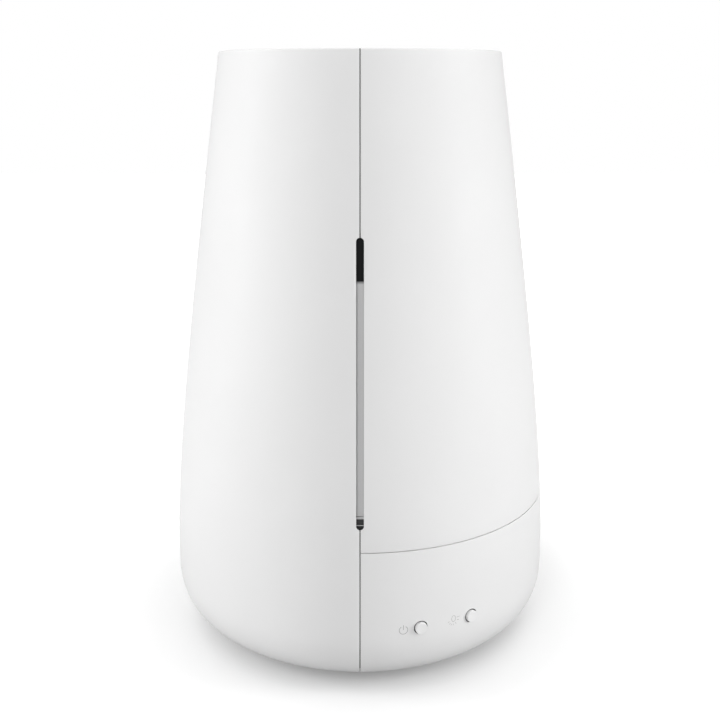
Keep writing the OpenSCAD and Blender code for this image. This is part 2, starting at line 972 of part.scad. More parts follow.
// The skirt that dips into the basin, and the cone that leads the mist up to its tube
module mist_funnel() {
    color(tank_grey)
        difference() {
            chamber(chamber_r + tank_wall, tube_out + tank_wall, skirt_z,
                chamber_top + 1, cone_top + 1, socket_top);
            chamber(chamber_r, tube_r, skirt_z - cut, chamber_top, cone_top, socket_top);
            translate([0, 0, cone_top + tube_seat])
                cylinder(r = tube_out + socket_gap, h = socket_top);
            for (i = [0:notch_count - 1])
                rotate([0, 0, (i + 0.5) * 360 / notch_count])
                    translate([chamber_r - cut, -notch_w / 2, skirt_z - cut])
                        cube([tank_wall + 2 * cut, notch_w, notch_h + cut]);
        }
}

module collar_gasket() {
    color(silicone_clear)
        difference() {
            tank_form(0.3, tank_z1 + 0.05, collar_z - 0.05);
            tank_form(tank_wall - 0.3, tank_z1 - cut, collar_z + cut);
        }
}

module fill_collar() {
    rim_top = lid_top - 0.3;
    color(inner_white)
        difference() {
            union() {
                tank_form(0, collar_z, collar_top);
                intersection() {
                    body_core(tank_in, collar_z, rim_top);
                    translate([tank_x, -span / 2, 0])
                        cube([span, span, span]);
                }
            }
            translate([0, 0, collar_top])
                cylinder(r = tank_r + 0.3, h = span);
            translate([0, 0, collar_z - cut])
                cylinder(r = fill_r, h = span);
        }
}

module tank_handle() {
    foot_z = collar_top + seat;
    bar_z = lid_z - handle_gap - handle_r;
    bar_half = handle_half + handle_end;
    color(inner_white)
        union() {
            for (y = [-handle_half, handle_half])
                translate([handle_off, y, foot_z])
                    cylinder(r = handle_foot_r, h = bar_z - foot_z);
            translate([handle_off, -bar_half, bar_z])
                rotate([-90, 0, 0])
                    cylinder(r = handle_r, h = 2 * bar_half);
        }
}

module mist_tube() {
    color(inner_white)
        ring(tube_out, tube_r, cone_top + tube_seat + seat, tube_top);
}

// ---- Valve ----

module valve_cap() {
    hole_r = 2.2;
    hole_at = 6.4;
    hole_count = 6;
    rib_count = 18;
    color(inner_white)
        translate([valve_off, 0, 0])
            difference() {
                union() {
                    translate([0, 0, cap_z])
                        cylinder(r = cap_r, h = tank_z0 - 0.2 - cap_z);
                    for (i = [0:rib_count - 1])
                        rotate([0, 0, i * 360 / rib_count])
                            translate([cap_r, 0, cap_z])
                                cylinder(r = 0.6, h = tank_z0 - 1.2 - cap_z);
                }
                translate([0, 0, cap_z + cap_t])
                    cylinder(r = cap_r - cap_wall, h = tank_z0);
                translate([0, 0, cap_z - cut])
                    cylinder(r = stem_r + run, h = cap_t + 2 * cut);
                for (i = [0:hole_count - 1])
                    rotate([0, 0, i * 360 / hole_count])
                        translate([hole_at, 0, cap_z - cut])
                            cylinder(r = hole_r, h = cap_t + 2 * cut);
            }
}

module cap_gasket() {
    color(silicone_clear)
        translate([valve_off, 0, 0])
            ring(neck_r + neck_t, neck_r, cap_z + cap_t + 0.05, neck_z - 0.05);
}

module valve_cage() {
    leg_w = 3;
    leg_count = 4;
    top_t = 1.5;
    color(inner_white)
        translate([valve_off, 0, 0])
            difference() {
                union() {
                    ring(cage_r, cage_r - cage_t, cage_z, cage_z + 2);
                    for (i = [0:leg_count - 1])
                        rotate([0, 0, i * 360 / leg_count])
                            intersection() {
                                ring(cage_r, cage_r - cage_t, cage_z, cage_z + cage_h);
                                translate([0, -leg_w / 2, 0])
                                    cube([cage_r + cut, leg_w, span]);
                            }
                    translate([0, 0, cage_z + cage_h - top_t])
                        difference() {
                            cylinder(r = cage_r, h = top_t);
                            for (i = [0:leg_count - 1])
                                rotate([0, 0, (i + 0.5) * 360 / leg_count])
                                    translate([cage_r * 0.6, 0, -cut])
                                        cylinder(r = cage_r * 0.26, h = top_t + 2 * cut);
                        }
                }
                translate([0, 0, cage_z])
                    cylinder(r = stem_r + run, h = cage_h + cut);
            }
}

module valve_plunger() {
    color(inner_white)
        translate([valve_off, 0, 0])
            union() {
                translate([0, 0, stem_z0])
                    cylinder(r = stem_r, h = stem_z1 - stem_z0);
                translate([0, 0, seal_z + seal_t])
                    cylinder(r = head_r, h = head_t);
            }
}

module valve_seal() {
    color(silicone_clear)
        translate([valve_off, 0, 0])
            ring(head_r, stem_r + 0.05, seal_z, seal_z + seal_t - 0.02);
}

// Rings of points round a wire, swept along a list of points on its middle line
module swept_wire(path, r, sides) {
    count = len(path);
    aside = [0.31, 0.53, 0.79];
    points = [for (i = [0:count - 1])
        let (ahead = path[min(i + 1, count - 1)] - path[max(i - 1, 0)],
             t = ahead / norm(ahead),
             u = cross(t, aside) / norm(cross(t, aside)),
             v = cross(t, u))
        for (k = [0:sides - 1])
            path[i] + r * (cos(360 * k / sides) * u + sin(360 * k / sides) * v)];
    walls = [for (i = [0:count - 2])
        for (k = [0:sides - 1])
            let (a = i * sides + k, b = i * sides + (k + 1) % sides)
            each [[a, a + sides, b], [b, a + sides, b + sides]]];
    ends = [[for (k = [0:sides - 1]) k],
            [for (k = [sides - 1:-1:0]) (count - 1) * sides + k]];
    polyhedron(points = points, faces = concat(walls, ends), convexity = 4);
}

module valve_spring() {
    steps = 14;
    z0 = seal_z + seal_t + head_t + spring_wire / 2 + 0.05;
    z1 = cage_z + cage_h - 1.5 - spring_wire / 2 - 0.05;
    total = steps * coil_turns;
    color(steel)
        translate([valve_off, 0, 0])
            swept_wire([for (i = [0:total])
                [coil_r * cos(360 * i / steps), coil_r * sin(360 * i / steps), z0 + (z1 - z0) * i / total]],
                spring_wire / 2, 6);
}

// ---- Lid and nozzle ----

module lid() {
    grip_r = 12;
    color(shell_white)
        difference() {
            rotate_extrude()
                polygon([
                    [bore_r, boss_z], [bore_r + boss_t, boss_z], [bore_r + boss_t, lid_z],
                    [lid_skirt_r, lid_z], [lid_skirt_r, lid_skirt_z],
                    [lid_skirt_r + lid_skirt_t, lid_skirt_z], [lid_skirt_r + lid_skirt_t, lid_z],
                    [lid_r, lid_z], [lid_r, lid_top - 0.6], [lid_r - 0.6, lid_top],
                    [bore_r, lid_top]]);
            translate([0, lid_r + 2, lid_top - lid_t / 2])
                cylinder(r = grip_r, h = lid_t);
        }
}

module lid_gasket() {
    color(silicone_clear)
        ring(lid_skirt_r + lid_skirt_t - 0.1, lid_skirt_r + 0.1, collar_top + seat, lid_skirt_z - 0.02);
}

module nozzle() {
    hub_z = boss_z - seat - clip_t;
    cap_under = lid_top + 0.15;
    rib_h = 0.9;
    color(shell_white)
        difference() {
            union() {
                rotate_extrude()
                    polygon([
                        [0, cap_under], [bore_r - run - hub_t, cap_under], [bore_r - run - hub_t, hub_z],
                        [bore_r - run, hub_z], [bore_r - run, cap_under], [nozzle_d / 2, cap_under],
                        [nozzle_d / 2, cap_under + nozzle_t - 0.6],
                        [nozzle_d / 2 - 0.6, cap_under + nozzle_t],
                        [0, cap_under + nozzle_t]]);
                translate([-nozzle_d * 0.3, 6, cap_under + nozzle_t / 2])
                    cube([nozzle_d * 0.6, 2.4, nozzle_t / 2 + rib_h]);
            }
            translate([0, -outlet_off, cap_under - cut])
                linear_extrude(nozzle_t + 2 * cut)
                    union() {
                        square([outlet_l - outlet_w, outlet_w], center = true);
                        for (x = [-1, 1])
                            translate([x * (outlet_l - outlet_w) / 2, 0])
                                circle(r = outlet_w / 2);
                    }
        }
}

module nozzle_clip() {
    hub_r = bore_r - run;
    z1 = boss_z - seat;
    color(inner_white)
        difference() {
            ring(hub_r + clip_w, hub_r + 0.05, z1 - clip_t, z1);
            translate([hub_r - cut, -1.5, z1 - 2 * clip_t])
                cube([clip_w + 2 * cut, 3, 3 * clip_t]);
        }
}

// ---- Transducer ----

module transducer_seal() {
    lap = disc_t / 2 + 0.05;
    color(silicone_clear)
        rotate_extrude()
            polygon([
                [seal_ring_in, seal_ring_z0], [seal_ring_out, seal_ring_z0],
                [seal_ring_out, seal_ring_z1], [seal_ring_in, seal_ring_z1],
                [seal_ring_in, disc_mid + lap], [disc_r + 0.05, disc_mid + lap],
                [disc_r + 0.05, disc_mid - lap], [seal_ring_in, disc_mid - lap]]);
}

module transducer() {
    color(steel)
        translate([0, 0, disc_mid - disc_t / 2])
            cylinder(r = disc_r, h = disc_t);
}

module transducer_holder() {
    color("lightsteelblue")
        difference() {
            union() {
                translate([0, 0, well_z - seat - holder_t])
                    cylinder(r = well_r, h = holder_t);
                well_ears(ear_r, well_z - seat - holder_t, well_z - seat);
                translate([0, 0, well_z - seat - holder_t / 2])
                    cylinder(r = well_bore - 0.3, h = seal_ring_z0 - well_z + holder_t / 2);
            }
            translate([0, 0, well_z - holder_t - 2])
                cylinder(r = disc_r - 2, h = span);
            well_ears(small_shank + pass, well_z - holder_t - cut, well_z + cut);
        }
}

module holder_screws() {
    color(steel)
        for (turn = ear_turns)
            rotate([0, 0, turn])
                translate([ear_at, 0, well_z - 2 * seat - holder_t])
                    rotate([180, 0, 0])
                        screw(small_head, small_head_h, small_shank, holder_t + 4.6);
}

// ---- Fan and duct ----

module fan_frame() {
    strut_w = 4;
    strut_h = 2;
    color(part_black)
        translate([-fan_off, 0, fan_z + seat / 2])
            difference() {
                union() {
                    difference() {
                        translate([-fan_w / 2, -fan_w / 2, 0])
                            cube([fan_w, fan_w, fan_t]);
                        translate([0, 0, -cut])
                            cylinder(r = fan_bore, h = fan_t + 2 * cut);
                    }
                    for (turn = [0, 90])
                        rotate([0, 0, turn + 45])
                            translate([-fan_bore - 1, -strut_w / 2, 0])
                                cube([2 * fan_bore + 2, strut_w, strut_h]);
                    cylinder(r = fan_hub_r - 1, h = strut_h);
                    cylinder(r = 3.5, h = strut_h + 6);
                }
                translate([0, 0, strut_h - 1])
                    cylinder(r = shaft_r + screw_gap, h = fan_t);
                translate([fan_off, 0, 0])
                    at_fan_holes()
                        translate([0, 0, -cut])
                            cylinder(r = screw_shank + pass, h = fan_t + 2 * cut);
            }
}

module fan_rotor() {
    base = fan_z + seat / 2 + 3;
    blade_l = fan_bore - 0.9 - fan_hub_r + 1;
    color(part_black)
        translate([-fan_off, 0, base])
            union() {
                difference() {
                    cylinder(r = fan_hub_r, h = fan_hub_h);
                    translate([0, 0, -cut])
                        cylinder(r = fan_hub_r - 1.2, h = fan_hub_h - 1.5 + cut);
                }
                translate([0, 0, -1.4])
                    cylinder(r = shaft_r, h = fan_hub_h);
                for (i = [0:blade_count - 1])
                    rotate([0, 0, i * 360 / blade_count])
                        translate([fan_hub_r - 1, 0, fan_hub_h / 2])
                            rotate([38, 0, 0])
                                translate([0, -5.5, -0.5])
                                    cube([blade_l, 11, 1]);
            }
}

module fan_screws() {
    color(steel)
        at_fan_holes()
            translate([0, 0, duct_z + duct_wall + seat])
                screw(screw_head, screw_head_h, screw_shank, duct_wall + fan_t + fan_stand - 0.6);
}

module air_duct() {
    top = duct_z + duct_h;
    box_x = duct_x0 + duct_inset;
    box_y = fan_w / 2 - duct_inset;
    color(inner_white)
        difference() {
            union() {
                translate([duct_x0, -fan_w / 2, duct_z])
                    cube([duct_x1 - duct_x0, fan_w, duct_wall]);
                translate([box_x, -box_y, duct_z])
                    cube([duct_x1 - box_x, 2 * box_y, duct_h]);
                translate([-riser_off, 0, duct_z])
                    cylinder(r = duct_tube_r + duct_wall, h = spigot_z + duct_lap - duct_z);
            }
            translate([box_x + duct_wall, -box_y + duct_wall, duct_z - cut])
                cube([2 * (box_y - duct_wall), 2 * (box_y - duct_wall), duct_h - duct_wall + cut]);
            translate([box_x + duct_wall, -box_y + duct_wall, duct_z + duct_wall])
                cube([duct_x1 - box_x - 2 * duct_wall, 2 * (box_y - duct_wall),
                    duct_h - 2 * duct_wall]);
            translate([-riser_off, 0, top - 2 * duct_wall])
                cylinder(r = duct_tube_r, h = spigot_z + duct_lap - top + 2 * duct_wall + cut);
            at_fan_holes()
                translate([0, 0, duct_z - cut])
                    cylinder(r = screw_shank + pass, h = duct_wall + 2 * cut);
        }
}

// ---- Electronics ----

module driver_board() {
    color(board_green)
        difference() {
            translate([board_x, board_y, board_z + seat / 2])
                cube([board_w, board_l, board_t]);
            at_board_holes()
                translate([0, 0, board_z - cut])
                    cylinder(r = small_shank + pass, h = board_t + 2 * cut);
        }
}

module on_board(x, y) {
    translate([board_x + x, board_y + y, board_top + seat])
        children();
}

module driver_components() {
    color(part_black) {
        on_board(26, 44)
            cube([16, 14, tall_h]);
        for (x = [14, 26])
            on_board(x, 34)
                cylinder(r = can_r, h = tall_h);
        on_board(10, 50)
            cube([8, 10, 4]);
        on_board(22, 16)
            cube([10, 10, 1.4]);
        for (x = signal_x)
            on_board(x, signal_y)
                cube([plug_l, plug_w, plug_h]);
        on_board(power_x, power_y)
            cube([plug_l, plug_w, plug_h]);
    }
}

module heat_sink() {
    fin_count = 4;
    color("silver")
        on_board(40, 12)
            union() {
                cube([2, 20, sink_h]);
                for (i = [0:fin_count - 1])
                    translate([1, 1 + i * 5.4, 0])
                        cube([8, 1.6, sink_h]);
            }
}

module board_screws() {
    color(steel)
        at_board_holes()
            translate([0, 0, board_top + seat])
                screw(small_head, small_head_h, small_shank, board_t + board_stand - 0.8);
}

// ---- Float ----

module float() {
    color("white")
        translate([float_x, float_y, float_z])
            difference() {
                cylinder(r = float_r, h = float_h);
                translate([0, 0, -cut])
                    cylinder(r = float_post_r + run, h = float_h + 2 * cut);
                ring(magnet_out + 0.1, magnet_in - 0.1, -cut, magnet_h + 0.2);
            }
}

module float_magnet() {
    color(steel)
        translate([float_x, float_y, float_z])
            ring(magnet_out, magnet_in, 0.1, magnet_h + 0.1);
}

module float_clip() {
    color(inner_white)
        translate([float_x, float_y, clip_post_z])
            ring(float_post_r + 2.5, float_post_r + 0.05, 0, float_clip_t);
}

module float_sensor() {
    color(board_green)
        translate([float_x - 6, float_y - 5, floor_z - tray_t - seat - 1.6]) {
            cube([12, 10, 1.6]);
        }
}

// ---- Power inlet ----

module power_jack() {
    flange_x = belly_r(jack_z - jack_flange_r, wall) - 0.5;
    color(part_black)
        facing(jack_turn, jack_z)
            difference() {
                union() {
                    out_cylinder(jack_r, jack_face - 12, jack_face);
                    translate([jack_face - jack_back, -5.5, -5.5])
                        cube([11, 11, 11]);
                    out_cylinder(jack_flange_r, flange_x - 1.5, flange_x);
                }
                out_cylinder(jack_bore, jack_face - jack_depth, jack_face + cut);
                out_cylinder(jack_pin_r + screw_gap, jack_face - jack_depth - jack_pin_root, jack_face);
            }
}

module jack_pin() {
    color(steel)
        facing(jack_turn, jack_z)
            out_cylinder(jack_pin_r, jack_face - jack_depth - jack_pin_root + screw_gap, jack_face - 1.5);
}

// ---- Buttons ----

module button(turn) {
    root = inner_wall_r - flange_gap - flange_t / 2;
    color(shell_white)
        facing(turn, button_z)
            union() {
                rotate([0, 90, 0])
                    rotate_extrude()
                        polygon([
                            [0, root], [button_r, root], [button_r, button_face - button_round],
                            [button_r - button_round * 0.3, button_face - button_round * 0.3],
                            [button_r - button_round, button_face], [0, button_face]]);
                out_cylinder(flange_r, inner_wall_r - flange_gap - flange_t, inner_wall_r - flange_gap);
                out_cylinder(1.5, stem_end, inner_wall_r - flange_gap - flange_t / 2);
            }
}

module power_button() {
    button(power_turn);
}

module light_button() {
    button(light_turn);
}

module button_board() {
    color(board_green)
        facing(board_turn, button_z)
            difference() {
                translate([key_board_r - key_board_t, -key_board_w / 2, -key_board_h / 2])
                    cube([key_board_t, key_board_w, key_board_h]);
                for (off = [-key_boss_off, key_boss_off])
                    translate([0, off, 0])
                        out_cylinder(small_shank + pass, key_board_r - key_board_t - cut,
                            key_board_r + cut);
            }
}

module tact_switches() {
    color(part_black)
        for (off = [-switch_off, switch_off])
            facing(board_turn, button_z)
                translate([key_board_r + 0.05, off, 0]) {
                    translate([0, -switch_w / 2, -switch_w / 2])
                        cube([switch_h, switch_w, switch_w]);
                    out_cylinder(actuator_r, switch_h / 2, switch_h + actuator_h);
                }
}

module button_board_screws() {
    color(steel)
        for (off = [-key_boss_off, key_boss_off])
            facing(board_turn, button_z)
                translate([key_board_r - key_board_t - 0.05, off, 0])
                    rotate([0, -90, 0])
                        screw(small_head, small_head_h, small_shank, key_board_t + 4.5);
}

// ---- Wires ----

wire_r = 1;
wire_sides = 8;
wire_steps = 5;
wire_gap = 0.45;
wire_drop = 4;

// The window's wire comes up behind the frame, beside the liner
light_wire_x = liner_x - liner_flat - 1.5 - wire_r;
light_wire_y = -(side_r(frame_z0) - frame_in - frame_depth - seat - wire_gap - wire_r);

function at_turn(turn, r, z) = [r * sin(turn), -r * cos(turn), z];

// The end of a wire, which comes down on to a plug of the driver board
function into_plug(x, y) =
    [for (up = [wire_drop, 0]) [board_x + x, board_y + y + plug_w / 2, plug_top + wire_gap + up]];

// A smooth curve through the points of a route
function smooth(route) =
    [for (i = [0:len(route) - 2])
        let (a = route[max(i - 1, 0)], b = route[i], c = route[i + 1],
             d = route[min(i + 2, len(route) - 1)])
        for (k = [0:wire_steps - (i < len(route) - 2 ? 1 : 0)])
            let (t = k / wire_steps)
            0.5 * (2 * b + (c - a) * t + (2 * a - 5 * b + 4 * c - d) * t * t
                + (3 * b - a - 3 * c + d) * t * t * t)];

module wire(route, paint) {
    color(paint)
        swept_wire(smooth(route), wire_r, wire_sides);
}

module jack_wires() {
    from = jack_face - jack_back - wire_gap;
    wire(concat([at_turn(jack_turn, from, jack_z), at_turn(jack_turn, from - 6, jack_z),
        [board_x + 32, board_y + 86, plug_top + 4], [board_x + power_x + 5, board_y + 74, plug_top + 5]],
        into_plug(power_x + 5, power_y)), part_black);
}

module fan_wires() {
    wire(concat([[-fan_off + fan_w / 2 + wire_gap, -fan_hole, fan_z + fan_t / 2],
        [-fan_off + fan_w / 2 + 8, -fan_hole - 4, fan_z + fan_t / 2 + 1],
        [board_x - 12, board_y - 4, plug_top + 2], [board_x + 8, board_y - 5, plug_top + 6]],
        into_plug(signal_x[0] + 8, signal_y)), part_black);
}

module transducer_wires() {
    wire(concat([[2, 0, disc_mid - disc_t / 2 - wire_gap], [2, 0, well_z - 6], [3, -4, well_z - 12],
        [board_x, board_y + 18, plug_top + 11], [board_x + 14, board_y + 10, plug_top + 7]],
        into_plug(signal_x[0] + 2.5, signal_y)), "firebrick");
}

module button_wires() {
    from = key_board_r - key_board_t - wire_gap;
    wire(concat([at_turn(board_turn - 2, from, button_z - 5),
        at_turn(board_turn - 2, from - 8, button_z - 9),
        [board_x + 30, board_y - 18, plug_top + 5], [board_x + 34, board_y - 4, plug_top + 6]],
        into_plug(signal_x[1] + 7, signal_y)), "silver");
}

module light_wires() {
    wire(concat([for (z = [frame_z0 + 2, deck_z + 4, deck_z - 6]) [light_wire_x, light_wire_y, z]],
        [[light_wire_x + 1, light_wire_y + 1, floor_z + 4], [-2, -basin_out - 3, floor_z - 12],
        [board_x + 4, board_y - 36, plug_top + 13], [board_x + 24, board_y - 8, plug_top + 8]],
        into_plug(signal_x[1] + 2.5, signal_y)), part_black);
}

left_shell();
base_shell();
tank_shell();
base_plate();
rubber_feet();
base_screws();
reservoir_tray();
air_riser();
tray_screws();
liner();
liner_screws();
window_frame();
window_lens();
light_strip();
light_lamps();
tank_walls();
tank_base();
mist_funnel();
collar_gasket();
fill_collar();
tank_handle();
mist_tube();
valve_cap();
cap_gasket();
valve_cage();
valve_plunger();
valve_seal();
valve_spring();
lid();
lid_gasket();
nozzle();
nozzle_clip();
transducer();
transducer_seal();
transducer_holder();
holder_screws();
fan_frame();
fan_rotor();
fan_screws();
air_duct();
driver_board();
driver_components();
heat_sink();
board_screws();
float();
float_magnet();
float_clip();
float_sensor();
power_jack();
jack_pin();
power_button();
light_button();
button_board();
tact_switches();
button_board_screws();
jack_wires();
fan_wires();
transducer_wires();
button_wires();
light_wires();
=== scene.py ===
"""Cool mist humidifier with a lift-out tank: finishes, fine shapes, light and camera.

Every length is in metres, in the same place as the solids: the origin is on the table under
the middle of the body, +Z is up and -Y is the front.
"""

import math

import bmesh
import bpy
from mathutils import Matrix, Vector


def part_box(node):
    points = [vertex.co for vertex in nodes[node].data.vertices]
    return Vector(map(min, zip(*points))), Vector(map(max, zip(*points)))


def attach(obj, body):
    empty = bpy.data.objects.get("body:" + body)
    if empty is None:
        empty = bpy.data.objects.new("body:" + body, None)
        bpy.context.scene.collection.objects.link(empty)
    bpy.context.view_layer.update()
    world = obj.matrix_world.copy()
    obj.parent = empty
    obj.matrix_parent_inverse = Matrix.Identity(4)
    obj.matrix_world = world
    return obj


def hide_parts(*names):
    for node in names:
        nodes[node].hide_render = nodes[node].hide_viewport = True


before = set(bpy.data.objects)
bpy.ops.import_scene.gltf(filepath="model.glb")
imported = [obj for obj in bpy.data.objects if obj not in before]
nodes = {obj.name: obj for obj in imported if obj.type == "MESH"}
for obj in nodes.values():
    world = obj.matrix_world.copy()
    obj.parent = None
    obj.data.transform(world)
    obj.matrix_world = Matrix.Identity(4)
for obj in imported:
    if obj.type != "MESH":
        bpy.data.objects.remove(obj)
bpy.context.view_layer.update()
scene = bpy.context.scene

MM = 0.001
QUARTER = math.pi / 2


def in_scene(name, data):
    piece = bpy.data.objects.new(name, data)
    scene.collection.objects.link(piece)
    return piece


def new_node(tree, kind, *starts, **settings):
    """A new node with its settings; the starts are linked to its first inputs, in order."""
    node = tree.nodes.new(kind)
    for label, value in settings.items():
        setattr(node, label, value)
    for start, socket in zip(starts, node.inputs):
        tree.links.new(start, socket)
    return node


def ranged(tree, value, start, end, low, high, **settings):
    """A node that spreads the part of a value between start and end over low to high."""
    node = new_node(tree, "ShaderNodeMapRange", value, **settings)
    for socket, number in zip(node.inputs[1:5], (start, end, low, high)):
        socket.default_value = number
    return node


# ---- Camera ----

CAMERA_PLACE = (0, -0.5865, 0.318)
CAMERA_PITCH = math.radians(15.3)
CAMERA_LENS = 51.46
CAMERA_SENSOR = 36

camera_data = bpy.data.cameras.new("camera")
camera_data.lens = CAMERA_LENS
camera_data.sensor_width = CAMERA_SENSOR
camera = in_scene("camera", camera_data)
camera.location = CAMERA_PLACE
camera.rotation_euler = (QUARTER - CAMERA_PITCH, 0, 0)
scene.camera = camera

# ---- Sizes of the body: the solids' own, with the seams and the slot a trifle wider ----

UNDER_Z = 2 * MM
BELLY_H = 36.6 * MM
BELLY_Z = UNDER_Z + BELLY_H
RIM_Z = UNDER_Z + 330 * MM
SPLIT_Z = UNDER_Z + 83.2 * MM
WAIST_R = 110 * MM
RIM_R = 76.7 * MM
UNDER_R = 66 * MM
LIP_R = 44 * MM
WALL = 2.5 * MM
BEND = 0.29
BELLY_POWER = 2.288
HALF_SEAM = 0.26 * MM
HALF_TANK_SEAM = 0.23 * MM
RIM_ROUND = 0.8 * MM
RIM_INNER_ROUND = 0.4 * MM
SEAM_ROUND = 0.16 * MM
SPLIT_ROUND = 0.12 * MM

SLOT_R = 1.94 * MM
SLOT_Z0 = UNDER_Z + 95.45 * MM
SLOT_Z1 = SLOT_Z0 + 145.95 * MM

BUTTON_Z = UNDER_Z + 39.6 * MM
HOLE_R = 3.8 * MM
BUTTON_R = 3.3 * MM
BUTTON_PROUD = 1.5 * MM
BUTTON_ROUND = 0.4 * MM
POWER_TURN = math.radians(16.8)
LIGHT_TURN = math.radians(32.6)

HALF_COLUMNS = 181
FULL_COLUMNS = 192
EDGE_STEPS = 3
BELLY_STEPS = 40
SIDE_STEPS = 60
TANK_SIDE_STEPS = 56
INNER_BELLY_STEPS = 24
INNER_SIDE_STEPS = 40


def side_r(z):
    """Radius of the wall above the widest ring."""
    up = (z - BELLY_Z) / (RIM_Z - BELLY_Z)
    full = math.sqrt(1 + BEND * BEND) - BEND
    return WAIST_R - (WAIST_R - RIM_R) * (math.sqrt(up * up + BEND * BEND) - BEND) / full


def body_r(z):
    """Radius of the outer surface at any height."""
    if z >= BELLY_Z:
        return side_r(z)
    down = min(1, (BELLY_Z - z) / BELLY_H)
    return UNDER_R + (WAIST_R - UNDER_R) * (1 - down ** BELLY_POWER) ** (1 / BELLY_POWER)


def belly_profile(inset, steps):
    """Points of the belly from the underside up to the widest ring, so far inside its surface."""
    points = []
    for i in range(steps + 1):
        t = QUARTER * (1 - i / steps)
        r = UNDER_R + (WAIST_R - inset - UNDER_R) * math.cos(t) ** (2 / BELLY_POWER)
        z = BELLY_Z - (BELLY_H - inset) * math.sin(t) ** (2 / BELLY_POWER)
        points.append((r, z))
    points[0] = (UNDER_R, BELLY_Z - (BELLY_H - inset))
    return points


def side_profile(inset, z0, z1, steps):
    """Points of the side between two heights, so far inside its surface."""
    heights = [z0 + (z1 - z0) * i / steps for i in range(steps + 1)]
    return [(side_r(z) - inset, z) for z in heights]


def rounded_corner(corner, start, end, radius, steps=6):
    """Points of a round that cuts a corner between the directions towards start and end."""
    corner, start, end = Vector(corner), Vector(start), Vector(end)
    a = (start - corner).normalized() * radius
    b = (end - corner).normalized() * radius
    points = []
    for i in range(steps + 1):
        t = QUARTER * i / steps
        points.append(tuple(corner + a * (1 - math.sin(t)) + b * (1 - math.cos(t))))
    return points


def rounded_profile(corners, radii):
    """A closed outline whose corners are rounded, each with its own radius."""
    points = []
    count = len(corners)
    for i, corner in enumerate(corners):
        if radii[i]:
            points += rounded_corner(corner, corners[i - 1], corners[(i + 1) % count], radii[i])
        else:
            points.append(tuple(corner))
    return points


# ---- Materials ----

# Scale and detail of the noise patterns; a swing is how far the roughness goes down and up
CLOUD = (18, 4)
GLOSS = (60, 5)
GLOSS_SWING = (-0.04, 0.05)
BRUSH = (900, 4)
BRUSH_SWING = (-0.06, 0.12)
BRUSH_SHADE = 0.86
BRUSH_DEPTH = 3e-6
WAVE_SCALE = 9
WAVE_BUMP = (4e-5, 0.35)
POLISHED_DEPTH = 1e-6
FINE_GRAIN = 0.35 * MM


class Finish:
    """A Principled material with small helpers for its pattern nodes."""

    def __init__(self, name, colour, roughness, **fixed):
        self.material = bpy.data.materials.new(name)
        self.material.use_nodes = True
        self.tree = self.material.node_tree
        self.shader = self.tree.nodes["Principled BSDF"]
        self.shader.inputs["Base Color"].default_value = (*colour, 1)
        self.shader.inputs["Roughness"].default_value = roughness
        for label, value in fixed.items():
            self.shader.inputs[label.replace("_", " ")].default_value = value
        self.place = self.tree.nodes.new("ShaderNodeTexCoord").outputs["Object"]
        self.colour = colour
        self.height = None

    def link(self, start, end):
        self.tree.links.new(start, end)

    def noise(self, scale, detail=2, stretch=None):
        place = self.place
        if stretch:
            mapping = new_node(self.tree, "ShaderNodeMapping", place)
            mapping.inputs["Scale"].default_value = stretch
            place = mapping.outputs["Vector"]
        node = new_node(self.tree, "ShaderNodeTexNoise", place)
        node.inputs["Scale"].default_value = scale
        node.inputs["Detail"].default_value = detail
        return node.outputs["Fac"]

    def between(self, value, low, high, start=0.35, end=0.65):
        return ranged(self.tree, value, start, end, low, high).outputs["Result"]

    def mottle(self, value, other):
        """Mixes the colour with another one where value is high."""
        node = new_node(self.tree, "ShaderNodeMix", data_type="RGBA")
        node.inputs["A"].default_value = (*self.colour, 1)
        node.inputs["B"].default_value = (*other, 1)
        self.link(value, node.inputs["Factor"])
        self.link(node.outputs["Result"], self.shader.inputs["Base Color"])

    def along_z(self, start, end):
        """0 below start and 1 above end, or the other way round where end is lower."""
        split = new_node(self.tree, "ShaderNodeSeparateXYZ", self.place)
        low, high = (0, 1) if end > start else (1, 0)
        return self.between(split.outputs["Z"], low, high, min(start, end), max(start, end))

    def sheen_marks(self, value, low, high):
        self.link(self.between(value, low, high), self.shader.inputs["Roughness"])

    def grain(self, value, depth, strength=1.0):
        """A bump of the given depth in metres; grains add up."""
        node = self.tree.nodes.new("ShaderNodeBump")
        node.inputs["Strength"].default_value = strength
        node.inputs["Distance"].default_value = depth
        self.link(value, node.inputs["Height"])
        if self.height:
            self.link(self.height, node.inputs["Normal"])
        self.height = node.outputs["Normal"]
        self.link(self.height, self.shader.inputs["Normal"])


def moulded(name, colour, roughness, tint=0.97, grain_size=FINE_GRAIN, grain_depth=2e-6,
            **fixed):
    """Moulded plastic: faint cloudiness, a fine texture and slightly uneven gloss."""
    finish = Finish(name, colour, roughness, **fixed)
    cloud = finish.between(finish.noise(*CLOUD), 0, 1)
    finish.mottle(cloud, tuple(c * tint for c in colour))
    finish.sheen_marks(finish.noise(*GLOSS), *(roughness + step for step in GLOSS_SWING))
    finish.grain(finish.noise(1 / grain_size), grain_depth)
    finish.grain(finish.noise(WAVE_SCALE), *WAVE_BUMP)
    return finish.material


def metal(name, colour, roughness, stretch):
    """Metal with fine brushing along one direction."""
    finish = Finish(name, colour, roughness, Metallic=1.0)
    lines = finish.noise(*BRUSH, stretch)
    finish.mottle(lines, tuple(c * BRUSH_SHADE for c in colour))
    finish.sheen_marks(lines, *(roughness + step for step in BRUSH_SWING))
    finish.grain(lines, BRUSH_DEPTH)
    return finish.material


